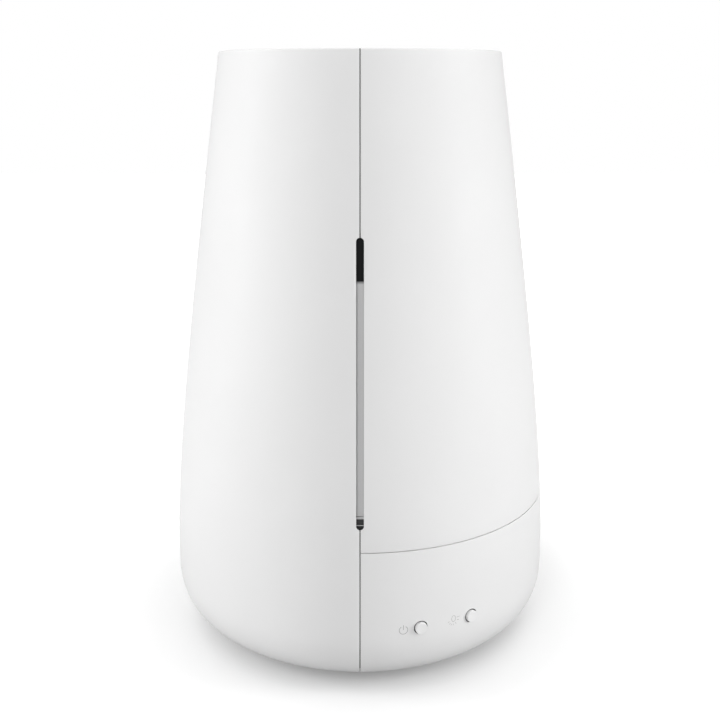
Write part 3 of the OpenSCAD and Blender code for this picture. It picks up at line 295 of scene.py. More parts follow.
# A thin, faintly grey coat darkens the white walls a little where they turn away
MATT_COAT = {"Coat_Weight": 1.0, "Coat_Roughness": 0.4, "Coat_IOR": 1.02,
             "Coat_Tint": (0.96, 0.96, 0.96, 1)}
shell_white = moulded("satin white shell", (0.86, 0.86, 0.86), 0.44, tint=0.985,
                      Specular_IOR_Level=0.08, **MATT_COAT)
button_white = moulded("satin white button", (0.87, 0.87, 0.87), 0.38, tint=0.985, **MATT_COAT)
top_white = moulded("satin white top", (0.84, 0.84, 0.845), 0.45, tint=0.98)

GREY_BLOCK = (104 * MM, 102 * MM)
LENS_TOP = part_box("window_lens")[1].z
# Painted shade: the lens darkens to near black along its top edge.
LENS_TOP_PAINTED_SHADE = (LENS_TOP - 1.5 * MM, LENS_TOP + 0.4 * MM)


def window_plastic(name, colour, roughness, gloss, sheen, shaded, shade):
    """Smooth plastic that turns to another colour along Z; shaded gives where it starts and ends.
    On the lens the other colour is painted shade at its top edge.
    """
    finish = Finish(name, colour, roughness, Specular_IOR_Level=sheen)
    finish.mottle(finish.along_z(*shaded), shade)
    finish.sheen_marks(finish.noise(*GLOSS), *gloss)
    finish.grain(finish.noise(1 / FINE_GRAIN), POLISHED_DEPTH)
    return finish.material


window_black = window_plastic("black window plastic", (0.004, 0.004, 0.0045), 0.35,
                              (0.3, 0.4), 0.08, GREY_BLOCK, (0.055, 0.055, 0.056))
# The smoke grey lens takes painted shade along its top edge.
lens_grey = window_plastic("smoke grey lens", (0.56, 0.56, 0.563), 0.36,
                           (0.32, 0.42), 0.3, LENS_TOP_PAINTED_SHADE, (0.02, 0.02, 0.02))
foot_rubber = moulded("grey foot rubber", (0.13, 0.13, 0.132), 0.75, grain_depth=8e-6)
screw_steel = metal("zinc screw steel", (0.62, 0.62, 0.63), 0.3, (1, 1, 8))
# Painted shade: a dark grey for the walls of holes and gaps, where shade falls.
gap_painted_shade = moulded("painted shade in the gaps", (0.1, 0.1, 0.1), 0.7)
mark_ink = moulded("grey printed marks", (0.42, 0.42, 0.42), 0.6, tint=0.95)

SLOT_FINISH = {
    "shell": shell_white, "top_plastic": top_white, "window_black": window_black,
    "window_lens": lens_grey, "foot_rubber": foot_rubber, "screw_steel": screw_steel,
    "tank_plastic": moulded("smoke tank plastic", (0.42, 0.44, 0.46), 0.42,
                            Transmission_Weight=0.12, IOR=1.5),
    "inner_plastic": moulded("plain white inner plastic", (0.7, 0.7, 0.7), 0.5),
    "silicone": moulded("milky silicone", (0.7, 0.7, 0.7), 0.55,
                        Transmission_Weight=0.25, IOR=1.41),
    "disc_steel": metal("polished disc steel", (0.72, 0.72, 0.73), 0.18, (6, 1, 1)),
    "heat_aluminium": metal("plain aluminium", (0.75, 0.76, 0.77), 0.36, (1, 6, 1)),
    "black_plastic": moulded("black part plastic", (0.02, 0.02, 0.021), 0.5, tint=0.7,
                             grain_depth=6e-6),
    "circuit_board": moulded("green circuit board", (0.012, 0.085, 0.04), 0.38, tint=0.6),
    "lamp": moulded("lamp resin", (0.8, 0.8, 0.72), 0.3, Transmission_Weight=0.3),
    "float_foam": moulded("float foam", (0.75, 0.74, 0.7), 0.85, grain_size=1.2 * MM,
                          grain_depth=6e-5),
    "magnet": moulded("sintered magnet", (0.06, 0.06, 0.065), 0.45, grain_depth=8e-6),
    "wire_insulation": moulded("wire insulation", (0.4, 0.4, 0.41), 0.45),
}
WIRE_COLOURS = {
    "jack_wires": (0.35, 0.02, 0.02), "fan_wires": (0.5, 0.4, 0.03),
    "transducer_wires": (0.4, 0.05, 0.02), "button_wires": (0.45, 0.45, 0.46),
    "light_wires": (0.05, 0.12, 0.4),
}
for node in nodes.values():
    for place in node.material_slots:
        place.material = SLOT_FINISH[place.material.name]
for name, colour in WIRE_COLOURS.items():
    nodes[name].material_slots[0].material = moulded("insulation of " + name, colour, 0.42)


# ---- Geometry Nodes trees ----


class Tree:
    """A Geometry Nodes tree with named inputs; its result ends realised, with a material."""

    def __init__(self, name, sizes):
        self.group = bpy.data.node_groups.new(name, "GeometryNodeTree")
        sockets = self.group.interface
        sockets.new_socket("Geometry", in_out="INPUT", socket_type="NodeSocketGeometry")
        for label, kind in sizes.items():
            sockets.new_socket(label, in_out="INPUT", socket_type="NodeSocket" + kind)
        sockets.new_socket("Material", in_out="INPUT", socket_type="NodeSocketMaterial")
        sockets.new_socket("Geometry", in_out="OUTPUT", socket_type="NodeSocketGeometry")
        self.given = self.group.nodes.new("NodeGroupInput").outputs

    def join(self, value, socket):
        if isinstance(value, bpy.types.NodeSocket):
            self.group.links.new(value, socket)
        else:
            socket.default_value = value

    def add(self, kind, inputs=None, **settings):
        node = new_node(self.group, kind, **settings)
        for label, value in (inputs or {}).items():
            self.join(value, node.inputs[label])
        return node

    def calc(self, operation, *values):
        node = self.add("ShaderNodeMath", operation=operation)
        for value, socket in zip(values, node.inputs):
            self.join(value, socket)
        return node.outputs[0]

    def times(self, a, b):
        return self.calc("MULTIPLY", a, b)

    def less(self, a, b):
        return self.calc("SUBTRACT", a, b)

    def vector(self, x, y, z):
        return self.add("ShaderNodeCombineXYZ", {"X": x, "Y": y, "Z": z}).outputs[0]

    def parted(self, vector):
        return self.add("ShaderNodeSeparateXYZ", {"Vector": vector}).outputs

    def moved(self, geometry, place):
        return self.add("GeometryNodeSetPosition", {
            "Geometry": geometry, "Position": place}).outputs[0]

    def sampled(self, value, index):
        return self.add("GeometryNodeSampleIndex", {
            "Geometry": self.given["Geometry"], "Value": value, "Index": index},
            data_type="FLOAT_VECTOR").outputs[0]

    def close(self, geometry):
        realised = self.add("GeometryNodeRealizeInstances", {"Geometry": geometry})
        painted = self.add("GeometryNodeSetMaterial", {
            "Geometry": realised.outputs[0], "Material": self.given["Material"]})
        output = self.group.nodes.new("NodeGroupOutput")
        self.group.links.new(painted.outputs[0], output.inputs[0])
        return self.group


def profile_grid(tree, columns):
    """A grid with one row per profile point; returns its mesh, column number and sampled point."""
    grid = tree.add("GeometryNodeMeshGrid", {
        "Vertices X": tree.given["Rows"], "Vertices Y": columns})
    index = tree.add("GeometryNodeInputIndex").outputs[0]
    row = tree.calc("FLOOR", tree.calc("DIVIDE", tree.calc("ADD", index, 0.5), columns))
    column = tree.less(index, tree.times(row, columns))
    point = tree.calc("MODULO", row, tree.given["Points"])
    position = tree.add("GeometryNodeInputPosition").outputs[0]
    xyz = tree.parted(tree.sampled(position, point))
    return grid.outputs["Mesh"], column, point, xyz["X"], xyz["Z"]


MERGE_WITHIN = 1e-6


def merged(tree, geometry):
    return tree.add("GeometryNodeMergeByDistance", {
        "Geometry": geometry, "Distance": MERGE_WITHIN}).outputs[0]


def turned_tree():
    """Turns a profile once round the Z axis."""
    tree = Tree("turned piece", {"Rows": "Int", "Points": "Int", "Columns": "Int"})
    columns = tree.calc("ADD", tree.given["Columns"], 1)
    grid, column, point, r, z = profile_grid(tree, columns)
    turn = tree.calc("DIVIDE", tree.times(column, 2 * math.pi), tree.given["Columns"])
    place = tree.vector(
        tree.times(r, tree.calc("SINE", turn)),
        tree.times(r, tree.times(tree.calc("COSINE", turn), -1)), z)
    return tree.close(merged(tree, tree.moved(grid, place)))


def half_shell_tree():
    """Turns a closed profile half way round, between flat ends at a seam with rounded edges."""
    tree = Tree("half shell", {
        "Rows": "Int", "Points": "Int", "Columns": "Int", "Edge Steps": "Int",
        "Half Seam": "Float", "Side": "Float"})
    columns, edge, gap = tree.given["Columns"], tree.given["Edge Steps"], tree.given["Half Seam"]
    grid, column, point, r, z = profile_grid(tree, columns)
    stored = tree.add("GeometryNodeInputNamedAttribute", {"Name": "edge_round"},
                      data_type="FLOAT_VECTOR").outputs[0]
    inward = tree.sampled(stored, point)
    shift = tree.parted(inward)
    size = tree.add("ShaderNodeVectorMath", {0: inward}, operation="LENGTH").outputs["Value"]
    last = tree.less(columns, 1)
    from_end = tree.calc("MINIMUM", column, tree.less(last, column))
    bend = tree.times(QUARTER, tree.calc("MINIMUM", tree.calc("DIVIDE", from_end, edge), 1))
    depth = tree.less(1, tree.calc("SINE", bend))
    radius = tree.calc("MULTIPLY_ADD", shift["X"], depth, r)
    height = tree.calc("MULTIPLY_ADD", shift["Z"], depth, z)
    away = tree.calc("MULTIPLY_ADD", size, tree.less(1, tree.calc("COSINE", bend)), gap)
    end = tree.calc("ARCSINE", tree.calc("DIVIDE", away, radius))
    inner = tree.less(last, tree.times(edge, 2))
    share = tree.calc("DIVIDE", tree.less(column, edge), inner)
    share = tree.calc("MAXIMUM", 0, tree.calc("MINIMUM", share, 1))
    sweep = tree.less(math.pi, tree.times(end, 2))
    turn = tree.calc("MULTIPLY_ADD", sweep, share, end)
    across = tree.times(tree.given["Side"], tree.times(radius, tree.calc("SINE", turn)))
    along = tree.times(-1, tree.times(radius, tree.calc("COSINE", turn)))
    wall = tree.moved(grid, tree.vector(across, along, height))

    # The flat ends: the profile, filled, stood up at each end of the half turn
    position = tree.add("GeometryNodeInputPosition").outputs[0]
    own = tree.add("ShaderNodeVectorMath", {0: position, 1: stored}, operation="ADD").outputs[0]
    own_xyz = tree.parted(own)
    flat = tree.moved(tree.given["Geometry"], tree.vector(own_xyz["X"], own_xyz["Z"], 0))
    curve = tree.add("GeometryNodeMeshToCurve", {"Mesh": flat}).outputs[0]
    filled = tree.add("GeometryNodeFillCurve", {"Curve": curve}).outputs[0]
    filled_xyz = tree.parted(position)
    x, y = filled_xyz["X"], filled_xyz["Y"]
    reach = tree.calc("SQRT", tree.less(tree.times(x, x), tree.times(gap, gap)))
    seam_x = tree.times(tree.given["Side"], gap)
    parts = tree.group.nodes.new("GeometryNodeJoinGeometry")
    tree.join(wall, parts.inputs[0])
    for sign in (-1, 1):
        place = tree.vector(seam_x, tree.times(reach, sign), y)
        tree.join(tree.moved(filled, place), parts.inputs[0])
    return tree.close(merged(tree, parts.outputs[0]))


def pairs_tree():
    """Sets out a piece in pairs round the middle, mirrored left and right."""
    tree = Tree("pairs round the middle", {
        "Count": "Int", "Circle": "Float", "Middle": "Float", "Spread": "Float"})
    line = tree.add("GeometryNodeMeshLine", {"Count": tree.given["Count"]})
    index = tree.add("GeometryNodeInputIndex").outputs[0]
    pair = tree.calc("FLOOR", tree.calc("DIVIDE", tree.calc("ADD", index, 0.5), 2))
    side = tree.less(1, tree.times(pair, 2))
    odd = tree.less(tree.times(tree.calc("MODULO", index, 2), 2), 1)
    turn = tree.times(
        side, tree.calc("MULTIPLY_ADD", odd, tree.given["Spread"], tree.given["Middle"]))
    circle = tree.given["Circle"]
    place = tree.vector(
        tree.times(circle, tree.calc("SINE", turn)),
        tree.times(tree.times(circle, -1), tree.calc("COSINE", turn)), 0)
    copies = tree.add("GeometryNodeInstanceOnPoints", {
        "Points": tree.moved(line.outputs[0], place), "Instance": tree.given["Geometry"],
        "Rotation": tree.vector(0, 0, turn)})
    return tree.close(copies.outputs[0])


TURNED = turned_tree()
HALF_SHELL = half_shell_tree()
PAIRS = pairs_tree()


# ---- Making and placing pieces ----


def evaluated_mesh(piece, name):
    """The piece with its modifiers applied, as a plain mesh."""
    depsgraph = bpy.context.evaluated_depsgraph_get()
    mesh = bpy.data.meshes.new_from_object(piece.evaluated_get(depsgraph), depsgraph=depsgraph)
    mesh.name = name
    return mesh


def temporary(mesh):
    """A helper object that a tree or a cut works on; it doesn't stay in the scene."""
    return in_scene("work " + mesh.name, mesh)


def outward(mesh):
    """The mesh with its faces turned outwards."""
    work = bmesh.new()
    work.from_mesh(mesh)
    bmesh.ops.recalc_face_normals(work, faces=work.faces)
    work.to_mesh(mesh)
    work.free()
    return mesh


def run_tree(name, source, tree, sizes, material):
    """Runs a Geometry Nodes tree on a mesh and returns the plain result."""
    piece = temporary(source)
    modifier = piece.modifiers.new("tree", "NODES")
    modifier.node_group = tree
    labels = {item.name: item.identifier for item in tree.interface.items_tree
              if item.in_out == "INPUT"}
    for label, value in sizes.items():
        modifier[labels[label]] = value
    modifier[labels["Material"]] = material
    mesh = evaluated_mesh(piece, name)
    piece.modifiers.remove(modifier)
    bpy.data.objects.remove(piece)
    return outward(mesh)


def profile_mesh(name, points, rounds=None, closed=True):
    """The outline that a tree turns, with the step inwards of each point at the seam."""
    mesh = bpy.data.meshes.new(name + " profile")
    count = len(points)
    edges = [(i, (i + 1) % count) for i in range(count if closed else count - 1)]
    mesh.from_pydata([(r, 0, z) for r, z in points], edges, [])
    if rounds:
        stored = mesh.attributes.new("edge_round", "FLOAT_VECTOR", "POINT")
        for item, (dr, dz) in zip(stored.data, rounds):
            item.vector = (dr, 0, dz)
    return mesh


def turned(name, points, material, closed=True, columns=FULL_COLUMNS):
    """A profile turned once round the Z axis; an open one starts and ends on the axis."""
    count = len(points)
    sizes = {"Rows": count + 1 if closed else count, "Points": count, "Columns": columns}
    return run_tree(name, profile_mesh(name, points, closed=closed), TURNED, sizes, material)


def lofted(name, rings):
    """A closed solid through rings that have the same number of points."""
    count = len(rings[0])
    faces = [list(range(count))]
    for k in range(len(rings) - 1):
        low, high = k * count, (k + 1) * count
        for i in range(count):
            j = (i + 1) % count
            faces.append([low + i, low + j, high + j, high + i])
    faces.append([(len(rings) - 1) * count + i for i in range(count)])
    mesh = bpy.data.meshes.new(name)
    mesh.from_pydata([p for ring in rings for p in ring], [], faces)
    return outward(mesh)


def combined(name, mesh, tools, operation="DIFFERENCE"):
    """The mesh with each tool cut out of it, or joined to it."""
    piece = temporary(mesh)
    helpers = [temporary(tool) for tool in tools]
    for helper in helpers:
        modifier = piece.modifiers.new("cut", "BOOLEAN")
        modifier.operation = operation
        modifier.solver = "EXACT"
        modifier.object = helper
    result = evaluated_mesh(piece, name)
    for item in [piece] + helpers:
        bpy.data.objects.remove(item)
    return result


def gathered(name, meshes):
    """One mesh with all the given solids in it, each left as it is."""
    work = bmesh.new()
    for mesh in meshes:
        work.from_mesh(mesh)
    result = bpy.data.meshes.new(name)
    work.to_mesh(result)
    work.free()
    return result


def placed(name, mesh, material, body, replaced=(), crease=35, inlays=()):
    """Puts a finished mesh in the scene; an inlay is a material and the test for its faces."""
    mesh.materials.clear()
    mesh.materials.append(material)
    mesh.polygons.foreach_set("material_index", [0] * len(mesh.polygons))
    for index, (inlay, inlaid) in enumerate(inlays, 1):
        mesh.materials.append(inlay)
        for face in mesh.polygons:
            if inlaid(face.center):
                face.material_index = index
    mesh.shade_smooth()
    mesh.set_sharp_from_angle(angle=math.radians(crease))
    piece = in_scene(name, mesh)
    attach(piece, body)
    if replaced:
        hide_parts(*replaced)


def facing(turn, z):
    """Turns local +X outwards in the direction that is turn from the front to the right."""
    return Matrix.Translation((0, 0, z)) @ Matrix.Rotation(turn - QUARTER, 4, "Z")


# ---- Shells ----

SLOT_EDGE = 0.2 * MM
HOLE_EDGE = 0.1 * MM
EDGE_BENDS = (0, 22.5, 45, 67.5)
FLARE = 0.55 * MM
CUT_BACK = 78 * MM
CUT_FRONT = 125 * MM
HOLE_STEPS = 64
RIM_STEPS = 8
INNER_RIM_STEPS = 4


def edge_rings(ring_at, edge):
    """Rings of a cutter with flat ends, whose mouth rounds the edge of the hole that it cuts."""
    rings = [ring_at(0, 0, CUT_BACK)]
    for bend in EDGE_BENDS:
        t = math.radians(bend)
        rings.append(ring_at(edge * (1 - math.sin(t)), edge * (1 - math.cos(t))))
    t = math.radians(EDGE_BENDS[-1])
    depth = edge * (1 - math.sin(t)) - FLARE * math.cos(t)
    growth = edge * (1 - math.cos(t)) + FLARE * math.sin(t)
    rings.append(ring_at(depth, growth))
    rings.append(ring_at(0, growth, CUT_FRONT))
    return rings


def slot_outline(grow, arc_steps=16, side_steps=56):
    """The slot's outline, two half circles and two straight sides, grown by grow."""
    radius = SLOT_R + grow
    low, high = SLOT_Z0 + SLOT_R, SLOT_Z1 - SLOT_R
    points = []
    for centre, start, side in ((low, math.pi, 1), (high, 0, -1)):
        for i in range(arc_steps):
            t = start + math.pi * i / arc_steps
            points.append((radius * math.cos(t), centre + radius * math.sin(t)))
        for i in range(side_steps):
            share = i / side_steps
            z = low + (high - low) * (share if side > 0 else 1 - share)
            points.append((side * radius, z))
    return points


def slot_ring(depth, grow, reach=None):
    """The outline laid on the wall at a depth in it, or on a flat plane at reach."""
    return [(x, -(reach or math.sqrt((body_r(z) - depth) ** 2 - x * x)), z)
            for x, z in slot_outline(grow)]


def hole_ring(turn, z0, radius):
    """Gives the function that lays a round hole's outline on the wall, as slot_ring does."""
    def ring(depth, grow, flat=None):
        out = Vector((math.sin(turn), -math.cos(turn), 0))
        across = Vector((math.cos(turn), math.sin(turn), 0))
        points = []
        for i in range(HOLE_STEPS):
            t = 2 * math.pi * i / HOLE_STEPS
            u, v = (radius + grow) * math.cos(t), (radius + grow) * math.sin(t)
            reach = flat or math.sqrt((body_r(z0 + v) - depth) ** 2 - u * u)
            points.append(out * reach + across * u + Vector((0, 0, z0 + v)))
        return points
    return ring


def shell_rounds(points, outer, size):
    """For each outer point, the step inwards that rounds the shell's edge at the seam."""
    rounds = []
    for i, (r, z) in enumerate(points):
        if i not in outer:
            rounds.append((0, 0))
            continue
        before, after = points[max(0, i - 1)], points[min(len(points) - 1, i + 1)]
        along = Vector((after[0] - before[0], after[1] - before[1])).normalized()
        rounds.append((-along.y * size, along.x * size))
    return rounds


def half_shell(name, outer, inner, side, material):
    """Half a shell between an outer and an inner profile, right of the seam or left of it."""
    points = outer + inner
    rounds = shell_rounds(points, range(1, len(outer) - 1), SEAM_ROUND)
    sizes = {"Rows": len(points) + 1, "Points": len(points), "Columns": HALF_COLUMNS,
             "Edge Steps": EDGE_STEPS, "Half Seam": HALF_SEAM, "Side": side}
    return run_tree(name, profile_mesh(name, points, rounds), HALF_SHELL, sizes, material)


def top_edge(z, outer_round, inner_round):
    """The rounded upper edge of a wall that ends at z."""
    r = side_r(z)
    outer = rounded_corner((r, z), (side_r(z - outer_round * 2), z - outer_round * 2),
                           (r - WALL, z), outer_round, RIM_STEPS)
    inner = rounded_corner((r - WALL, z), (r, z), (r - WALL, z - WALL), inner_round,
                           INNER_RIM_STEPS)
    return outer + inner


def upright_ring(x, y, radius, z, count=48):
    return [(x + radius * math.cos(2 * math.pi * i / count),
             y + radius * math.sin(2 * math.pi * i / count), z) for i in range(count)]


FOOT_R = 8 * MM
FOOT_CIRCLE = 55 * MM
FOOT_SINK = 0.6 * MM
FOOT_SPREAD = math.radians(45)
SCREW_HEAD_R = 2.9 * MM
SCREW_HEAD_H = 1.2 * MM
SCREW_CIRCLE = 61 * MM
SCREW_SPREAD = math.radians(60)
SHANK_HOLE_R = 1.75 * MM
FOOT_CLEAR = 0.15 * MM
HEAD_CLEAR = 0.25 * MM
HEAD_SINK = SCREW_HEAD_H + 0.15 * MM
WELL_LEAD = 0.15 * MM


def well(name, turn, circle, radius, depth):
    """A round cutter that sinks into the underside, with a small lead-in at its mouth."""
    x, y = circle * math.sin(turn), -circle * math.cos(turn)
    return lofted(name, [upright_ring(x, y, radius + 2 * WELL_LEAD, UNDER_Z - WELL_LEAD),
                         upright_ring(x, y, radius, UNDER_Z + WELL_LEAD),
                         upright_ring(x, y, radius, UNDER_Z + depth)])


def lip_wells(side):
    """Cutters for the feet, the screw heads and their shanks under one half of the body."""
    wells = []
    for sign in (-1, 1):
        foot_turn = side * (QUARTER + sign * FOOT_SPREAD)
        screw_turn = side * (QUARTER + sign * SCREW_SPREAD)
        for name, turn, circle, radius, depth in (
                ("foot well", foot_turn, FOOT_CIRCLE, FOOT_R + FOOT_CLEAR, FOOT_SINK),
                ("head well", screw_turn, SCREW_CIRCLE, SCREW_HEAD_R + HEAD_CLEAR, HEAD_SINK),
                ("shank well", screw_turn, SCREW_CIRCLE, SHANK_HOLE_R, WALL + 1 * MM)):
            wells.append(well(name, turn, circle, radius, depth))
    return wells


lip_z = UNDER_Z + WALL
split_low = SPLIT_Z - HALF_TANK_SEAM
split_high = SPLIT_Z + HALF_TANK_SEAM


def standing_shell(name, side, top, outer_round, inner_round):
    """Half a shell that stands on the table, from the lip under the body up to top."""
    outer = belly_profile(0, BELLY_STEPS)
    outer += side_profile(0, BELLY_Z, top - outer_round, SIDE_STEPS)[1:-1]
    outer += top_edge(top, outer_round, inner_round)
    inner = side_profile(WALL, BELLY_Z, top - inner_round, INNER_SIDE_STEPS)[::-1][1:]
    inner += belly_profile(WALL, INNER_BELLY_STEPS)[::-1][1:]
    inner += [(LIP_R, lip_z), (LIP_R, UNDER_Z)]
    return half_shell(name, outer, inner, side, shell_white)


# Painted shade: the wall at the slot's lower end is painted black, between these depths and this
# far up.
SLOT_SHADE_DEPTH = (0.22 * MM, WALL - 0.1 * MM)
SLOT_SHADE_UP = 3 * MM
NEAR = 0.1 * MM


def in_shaded_slot_end(point):
    """True on the wall of the slot's lower end, which is painted black as shade."""
    depth = body_r(point.z) - math.hypot(point.x, point.y)
    beside = abs(point.x) < SLOT_R + NEAR and point.y < 0
    along = SLOT_Z0 - NEAR < point.z < SLOT_Z0 + SLOT_SHADE_UP
    return beside and along and SLOT_SHADE_DEPTH[0] < depth < SLOT_SHADE_DEPTH[1]


def on_tongue(point):
    """True on the strips that stand out of the left shell's edges, which are painted dark grey as
    the shade in the seam.
    """
    return point.x > -HALF_SEAM + NEAR / 2


# The tongues close the seam behind its edges; rebates in the right half leave them room. Their
# dark grey is painted shade in the seam.
TONGUE_DEPTH = (1.8 * MM, 2.2 * MM)
TONGUE_ROOT = 0.4 * MM
TONGUE_REACH = 1.1 * MM
TONGUE_TOP = RIM_Z - 0.1 * MM
REBATE_DEPTH = (1.55 * MM, 3.2 * MM)
REBATE_ROOT = 1 * MM
REBATE_REACH = 1.35 * MM
FRONT, BACK = -1, 1


def seam_line(depth, low, high):
    """The wall's profile between two heights, so deep in the wall; low may be the underside."""
    if low > BELLY_Z:
        return side_profile(depth, low, high, INNER_SIDE_STEPS)
    belly = belly_profile(depth, INNER_BELLY_STEPS)
    return belly[1:] + side_profile(depth, BELLY_Z, high, INNER_SIDE_STEPS)[1:]


def seam_strip(name, face, x0, x1, depths, low, high):
    """A strip that follows the wall along the seam, at the front or the back of the body."""
    near, far = (seam_line(depth, low, high) for depth in depths)
    return lofted(name, [[(x0, face * r0, z0), (x1, face * r0, z0),
                          (x1, face * r1, z1), (x0, face * r1, z1)]
                         for (r0, z0), (r1, z1) in zip(near, far)])


def rebate(face, low, high):
    return seam_strip("seam rebate", face, -REBATE_ROOT, REBATE_REACH, REBATE_DEPTH, low, high)


tongues = [seam_strip("seam tongue", face, -HALF_SEAM - TONGUE_ROOT, TONGUE_REACH,
                      TONGUE_DEPTH, low, high)
           for face, low, high in ((FRONT, UNDER_Z, SLOT_Z0 - 2 * MM),
                                   (FRONT, SLOT_Z1 + 2 * MM, TONGUE_TOP),
                                   (BACK, SPLIT_Z + 1 * MM, TONGUE_TOP))]
slot_cutter = lofted("slot cutter", edge_rings(slot_ring, SLOT_EDGE))
left_mesh = standing_shell("left shell", -1, RIM_Z, RIM_ROUND, RIM_INNER_ROUND)
left_mesh = combined("left shell", left_mesh, [slot_cutter.copy()] + lip_wells(-1))
left_mesh = gathered("left shell", [left_mesh] + tongues)
# The slot's lower end takes painted shade in black, the tongues in dark grey.
placed("left_shell_skin", left_mesh, shell_white, "base", ["left_shell"],
       inlays=[(window_black, in_shaded_slot_end), (gap_painted_shade, on_tongue)])

base_mesh = standing_shell("base shell", 1, split_low, SPLIT_ROUND, SPLIT_ROUND)


def in_button_hole(point):
    """True on the walls of the two button holes, which are painted dark grey as shade."""
    depth = body_r(point.z) - math.hypot(point.x, point.y)
    for turn in (POWER_TURN, LIGHT_TURN):
        across = point.x * math.cos(turn) + point.y * math.sin(turn)
        near = math.hypot(across, point.z - BUTTON_Z) < HOLE_R + NEAR / 2
        if near and point.y < 0 and NEAR < depth < WALL - NEAR:
            return True
    return False


holes = [lofted("button hole", edge_rings(hole_ring(turn, BUTTON_Z, HOLE_R), HOLE_EDGE))
         for turn in (POWER_TURN, LIGHT_TURN)]
JACK_TURN = math.radians(160)
JACK_Z = UNDER_Z + 28 * MM
JACK_HOLE_R = 5 * MM
jack_ring = hole_ring(JACK_TURN, JACK_Z, JACK_HOLE_R)
holes.append(lofted("inlet hole", edge_rings(jack_ring, HOLE_EDGE)))
base_rebate = rebate(FRONT, UNDER_Z, SPLIT_Z + 2 * MM)
base_mesh = combined("base shell", base_mesh, holes + lip_wells(1) + [base_rebate])
# The button holes' walls take painted shade.
placed("base_shell_skin", base_mesh, shell_white, "base", ["base_shell"],
       inlays=[(gap_painted_shade, in_button_hole)])

split_r = side_r(split_high)
tank_outer = rounded_corner((split_r, split_high), (split_r - WALL, split_high),
                            (side_r(split_high + WALL), split_high + WALL), SPLIT_ROUND,
                            INNER_RIM_STEPS)
tank_outer += side_profile(0, split_high, RIM_Z - RIM_ROUND, TANK_SIDE_STEPS)[1:-1]
tank_outer += top_edge(RIM_Z, RIM_ROUND, RIM_INNER_ROUND)
tank_inner = side_profile(WALL, split_high, RIM_Z - RIM_INNER_ROUND, INNER_SIDE_STEPS)
tank_inner = tank_inner[::-1][1:]
tank_mesh = half_shell("tank shell", tank_outer, tank_inner, 1, shell_white)
tank_rebates = [rebate(face, SPLIT_Z - 2 * MM, RIM_Z + 1 * MM) for face in (FRONT, BACK)]
tank_mesh = combined("tank shell", tank_mesh, [slot_cutter] + tank_rebates)
# The slot's lower end takes painted shade here too.
placed("tank_shell_skin", tank_mesh, shell_white, "tank", ["tank_shell"],
       inlays=[(window_black, in_shaded_slot_end)])

# ---- Pale line across the window's lower block: a strip of lens plastic whose pale grey is a painted highlight on an edge ----

LINE_Z = SLOT_Z0 + 1.47 * MM
LINE_H = 0.3 * MM
LINE_T = 0.6 * MM
LINE_DEPTH = 2.15 * MM
LINE_REACH = SLOT_R + 0.2 * MM
LINE_SHARES = [k / 4 - 1 for k in range(9)]


def line_ring(depth):
    return [(x, -math.sqrt((body_r(z) - depth) ** 2 - x * x), z)
            for z, sign in ((LINE_Z, 1), (LINE_Z + LINE_H, -1))
            for x in [sign * LINE_REACH * share for share in LINE_SHARES]]


highlight_line_mesh = lofted("window line", [line_ring(LINE_DEPTH + LINE_T), line_ring(LINE_DEPTH)])
# Painted highlight: the strip's pale grey stands in for light caught on an edge.
placed("window_highlight_line", highlight_line_mesh, lens_grey, "base")

# ---- Buttons ----

INNER_WALL_R = side_r(BUTTON_Z) - WALL
FLANGE_R = HOLE_R + 1.6 * MM
# Painted shade: the button's side is dark grey from this depth under the wall's surface inwards,
# as the shade in the gap round it.
PAINTED_SHADE_DEPTH = 0.3 * MM
FLANGE_GAP = 0.5 * MM
FLANGE_T = 1 * MM
STEM_R = 1.5 * MM
STEM_ROUND = 0.2 * MM
DISH = 0.08 * MM
DISH_STEP = 0.3 * MM
face_x = side_r(BUTTON_Z) + BUTTON_PROUD
painted_shade_x = side_r(BUTTON_Z) - PAINTED_SHADE_DEPTH
flange_x = INNER_WALL_R - FLANGE_GAP


def button_mesh(name, turn, stem_x):
    """A button with a softly dished face, its flange behind the wall, and its stem."""
    dish = [(BUTTON_R - BUTTON_ROUND - DISH_STEP * k, face_x - DISH * k / 4)
            for k in range(1, 5)]
    edge = rounded_corner((BUTTON_R, face_x), (BUTTON_R, face_x - 1), (0, face_x),
                          BUTTON_ROUND, RIM_STEPS)
    points = [(0, stem_x), (STEM_R - STEM_ROUND, stem_x), (STEM_R, stem_x + STEM_ROUND),
              (STEM_R, flange_x - FLANGE_T), (FLANGE_R, flange_x - FLANGE_T),
              (FLANGE_R, flange_x), (BUTTON_R, flange_x), (BUTTON_R, painted_shade_x)]
    points += edge + dish + [(0, face_x - DISH)]
    mesh = turned(name, points, button_white, closed=False, columns=96)
    mesh.transform(facing(turn, BUTTON_Z) @ Matrix.Rotation(QUARTER, 4, "Y"))
    return mesh


for name, turn in (("power_button", POWER_TURN), ("light_button", LIGHT_TURN)):
    direction = Vector((math.sin(turn), -math.cos(turn)))
    stem_x = min(v.co.xy.dot(direction) for v in nodes[name].data.vertices)
    mesh = button_mesh(name + " cap", turn, stem_x)
    # The button's side inside the hole takes painted shade.
    placed(name + "_cap", mesh, button_white, name, [name],
           inlays=[(gap_painted_shade, lambda point: point.xy.dot(direction) < painted_shade_x)])

# ---- Printed marks beside the buttons ----

INK_LIFT = 0.02 * MM
INK_ROOT = 0.04 * MM


def on_wall(turn, z0, u, v, lift):
    """The place on the wall that is u right of turn and v above z0, lifted outwards."""
    z = z0 + v
    r = body_r(z)
    angle = turn + u / r
    return Vector(((r + lift) * math.sin(angle), -(r + lift) * math.cos(angle), z))


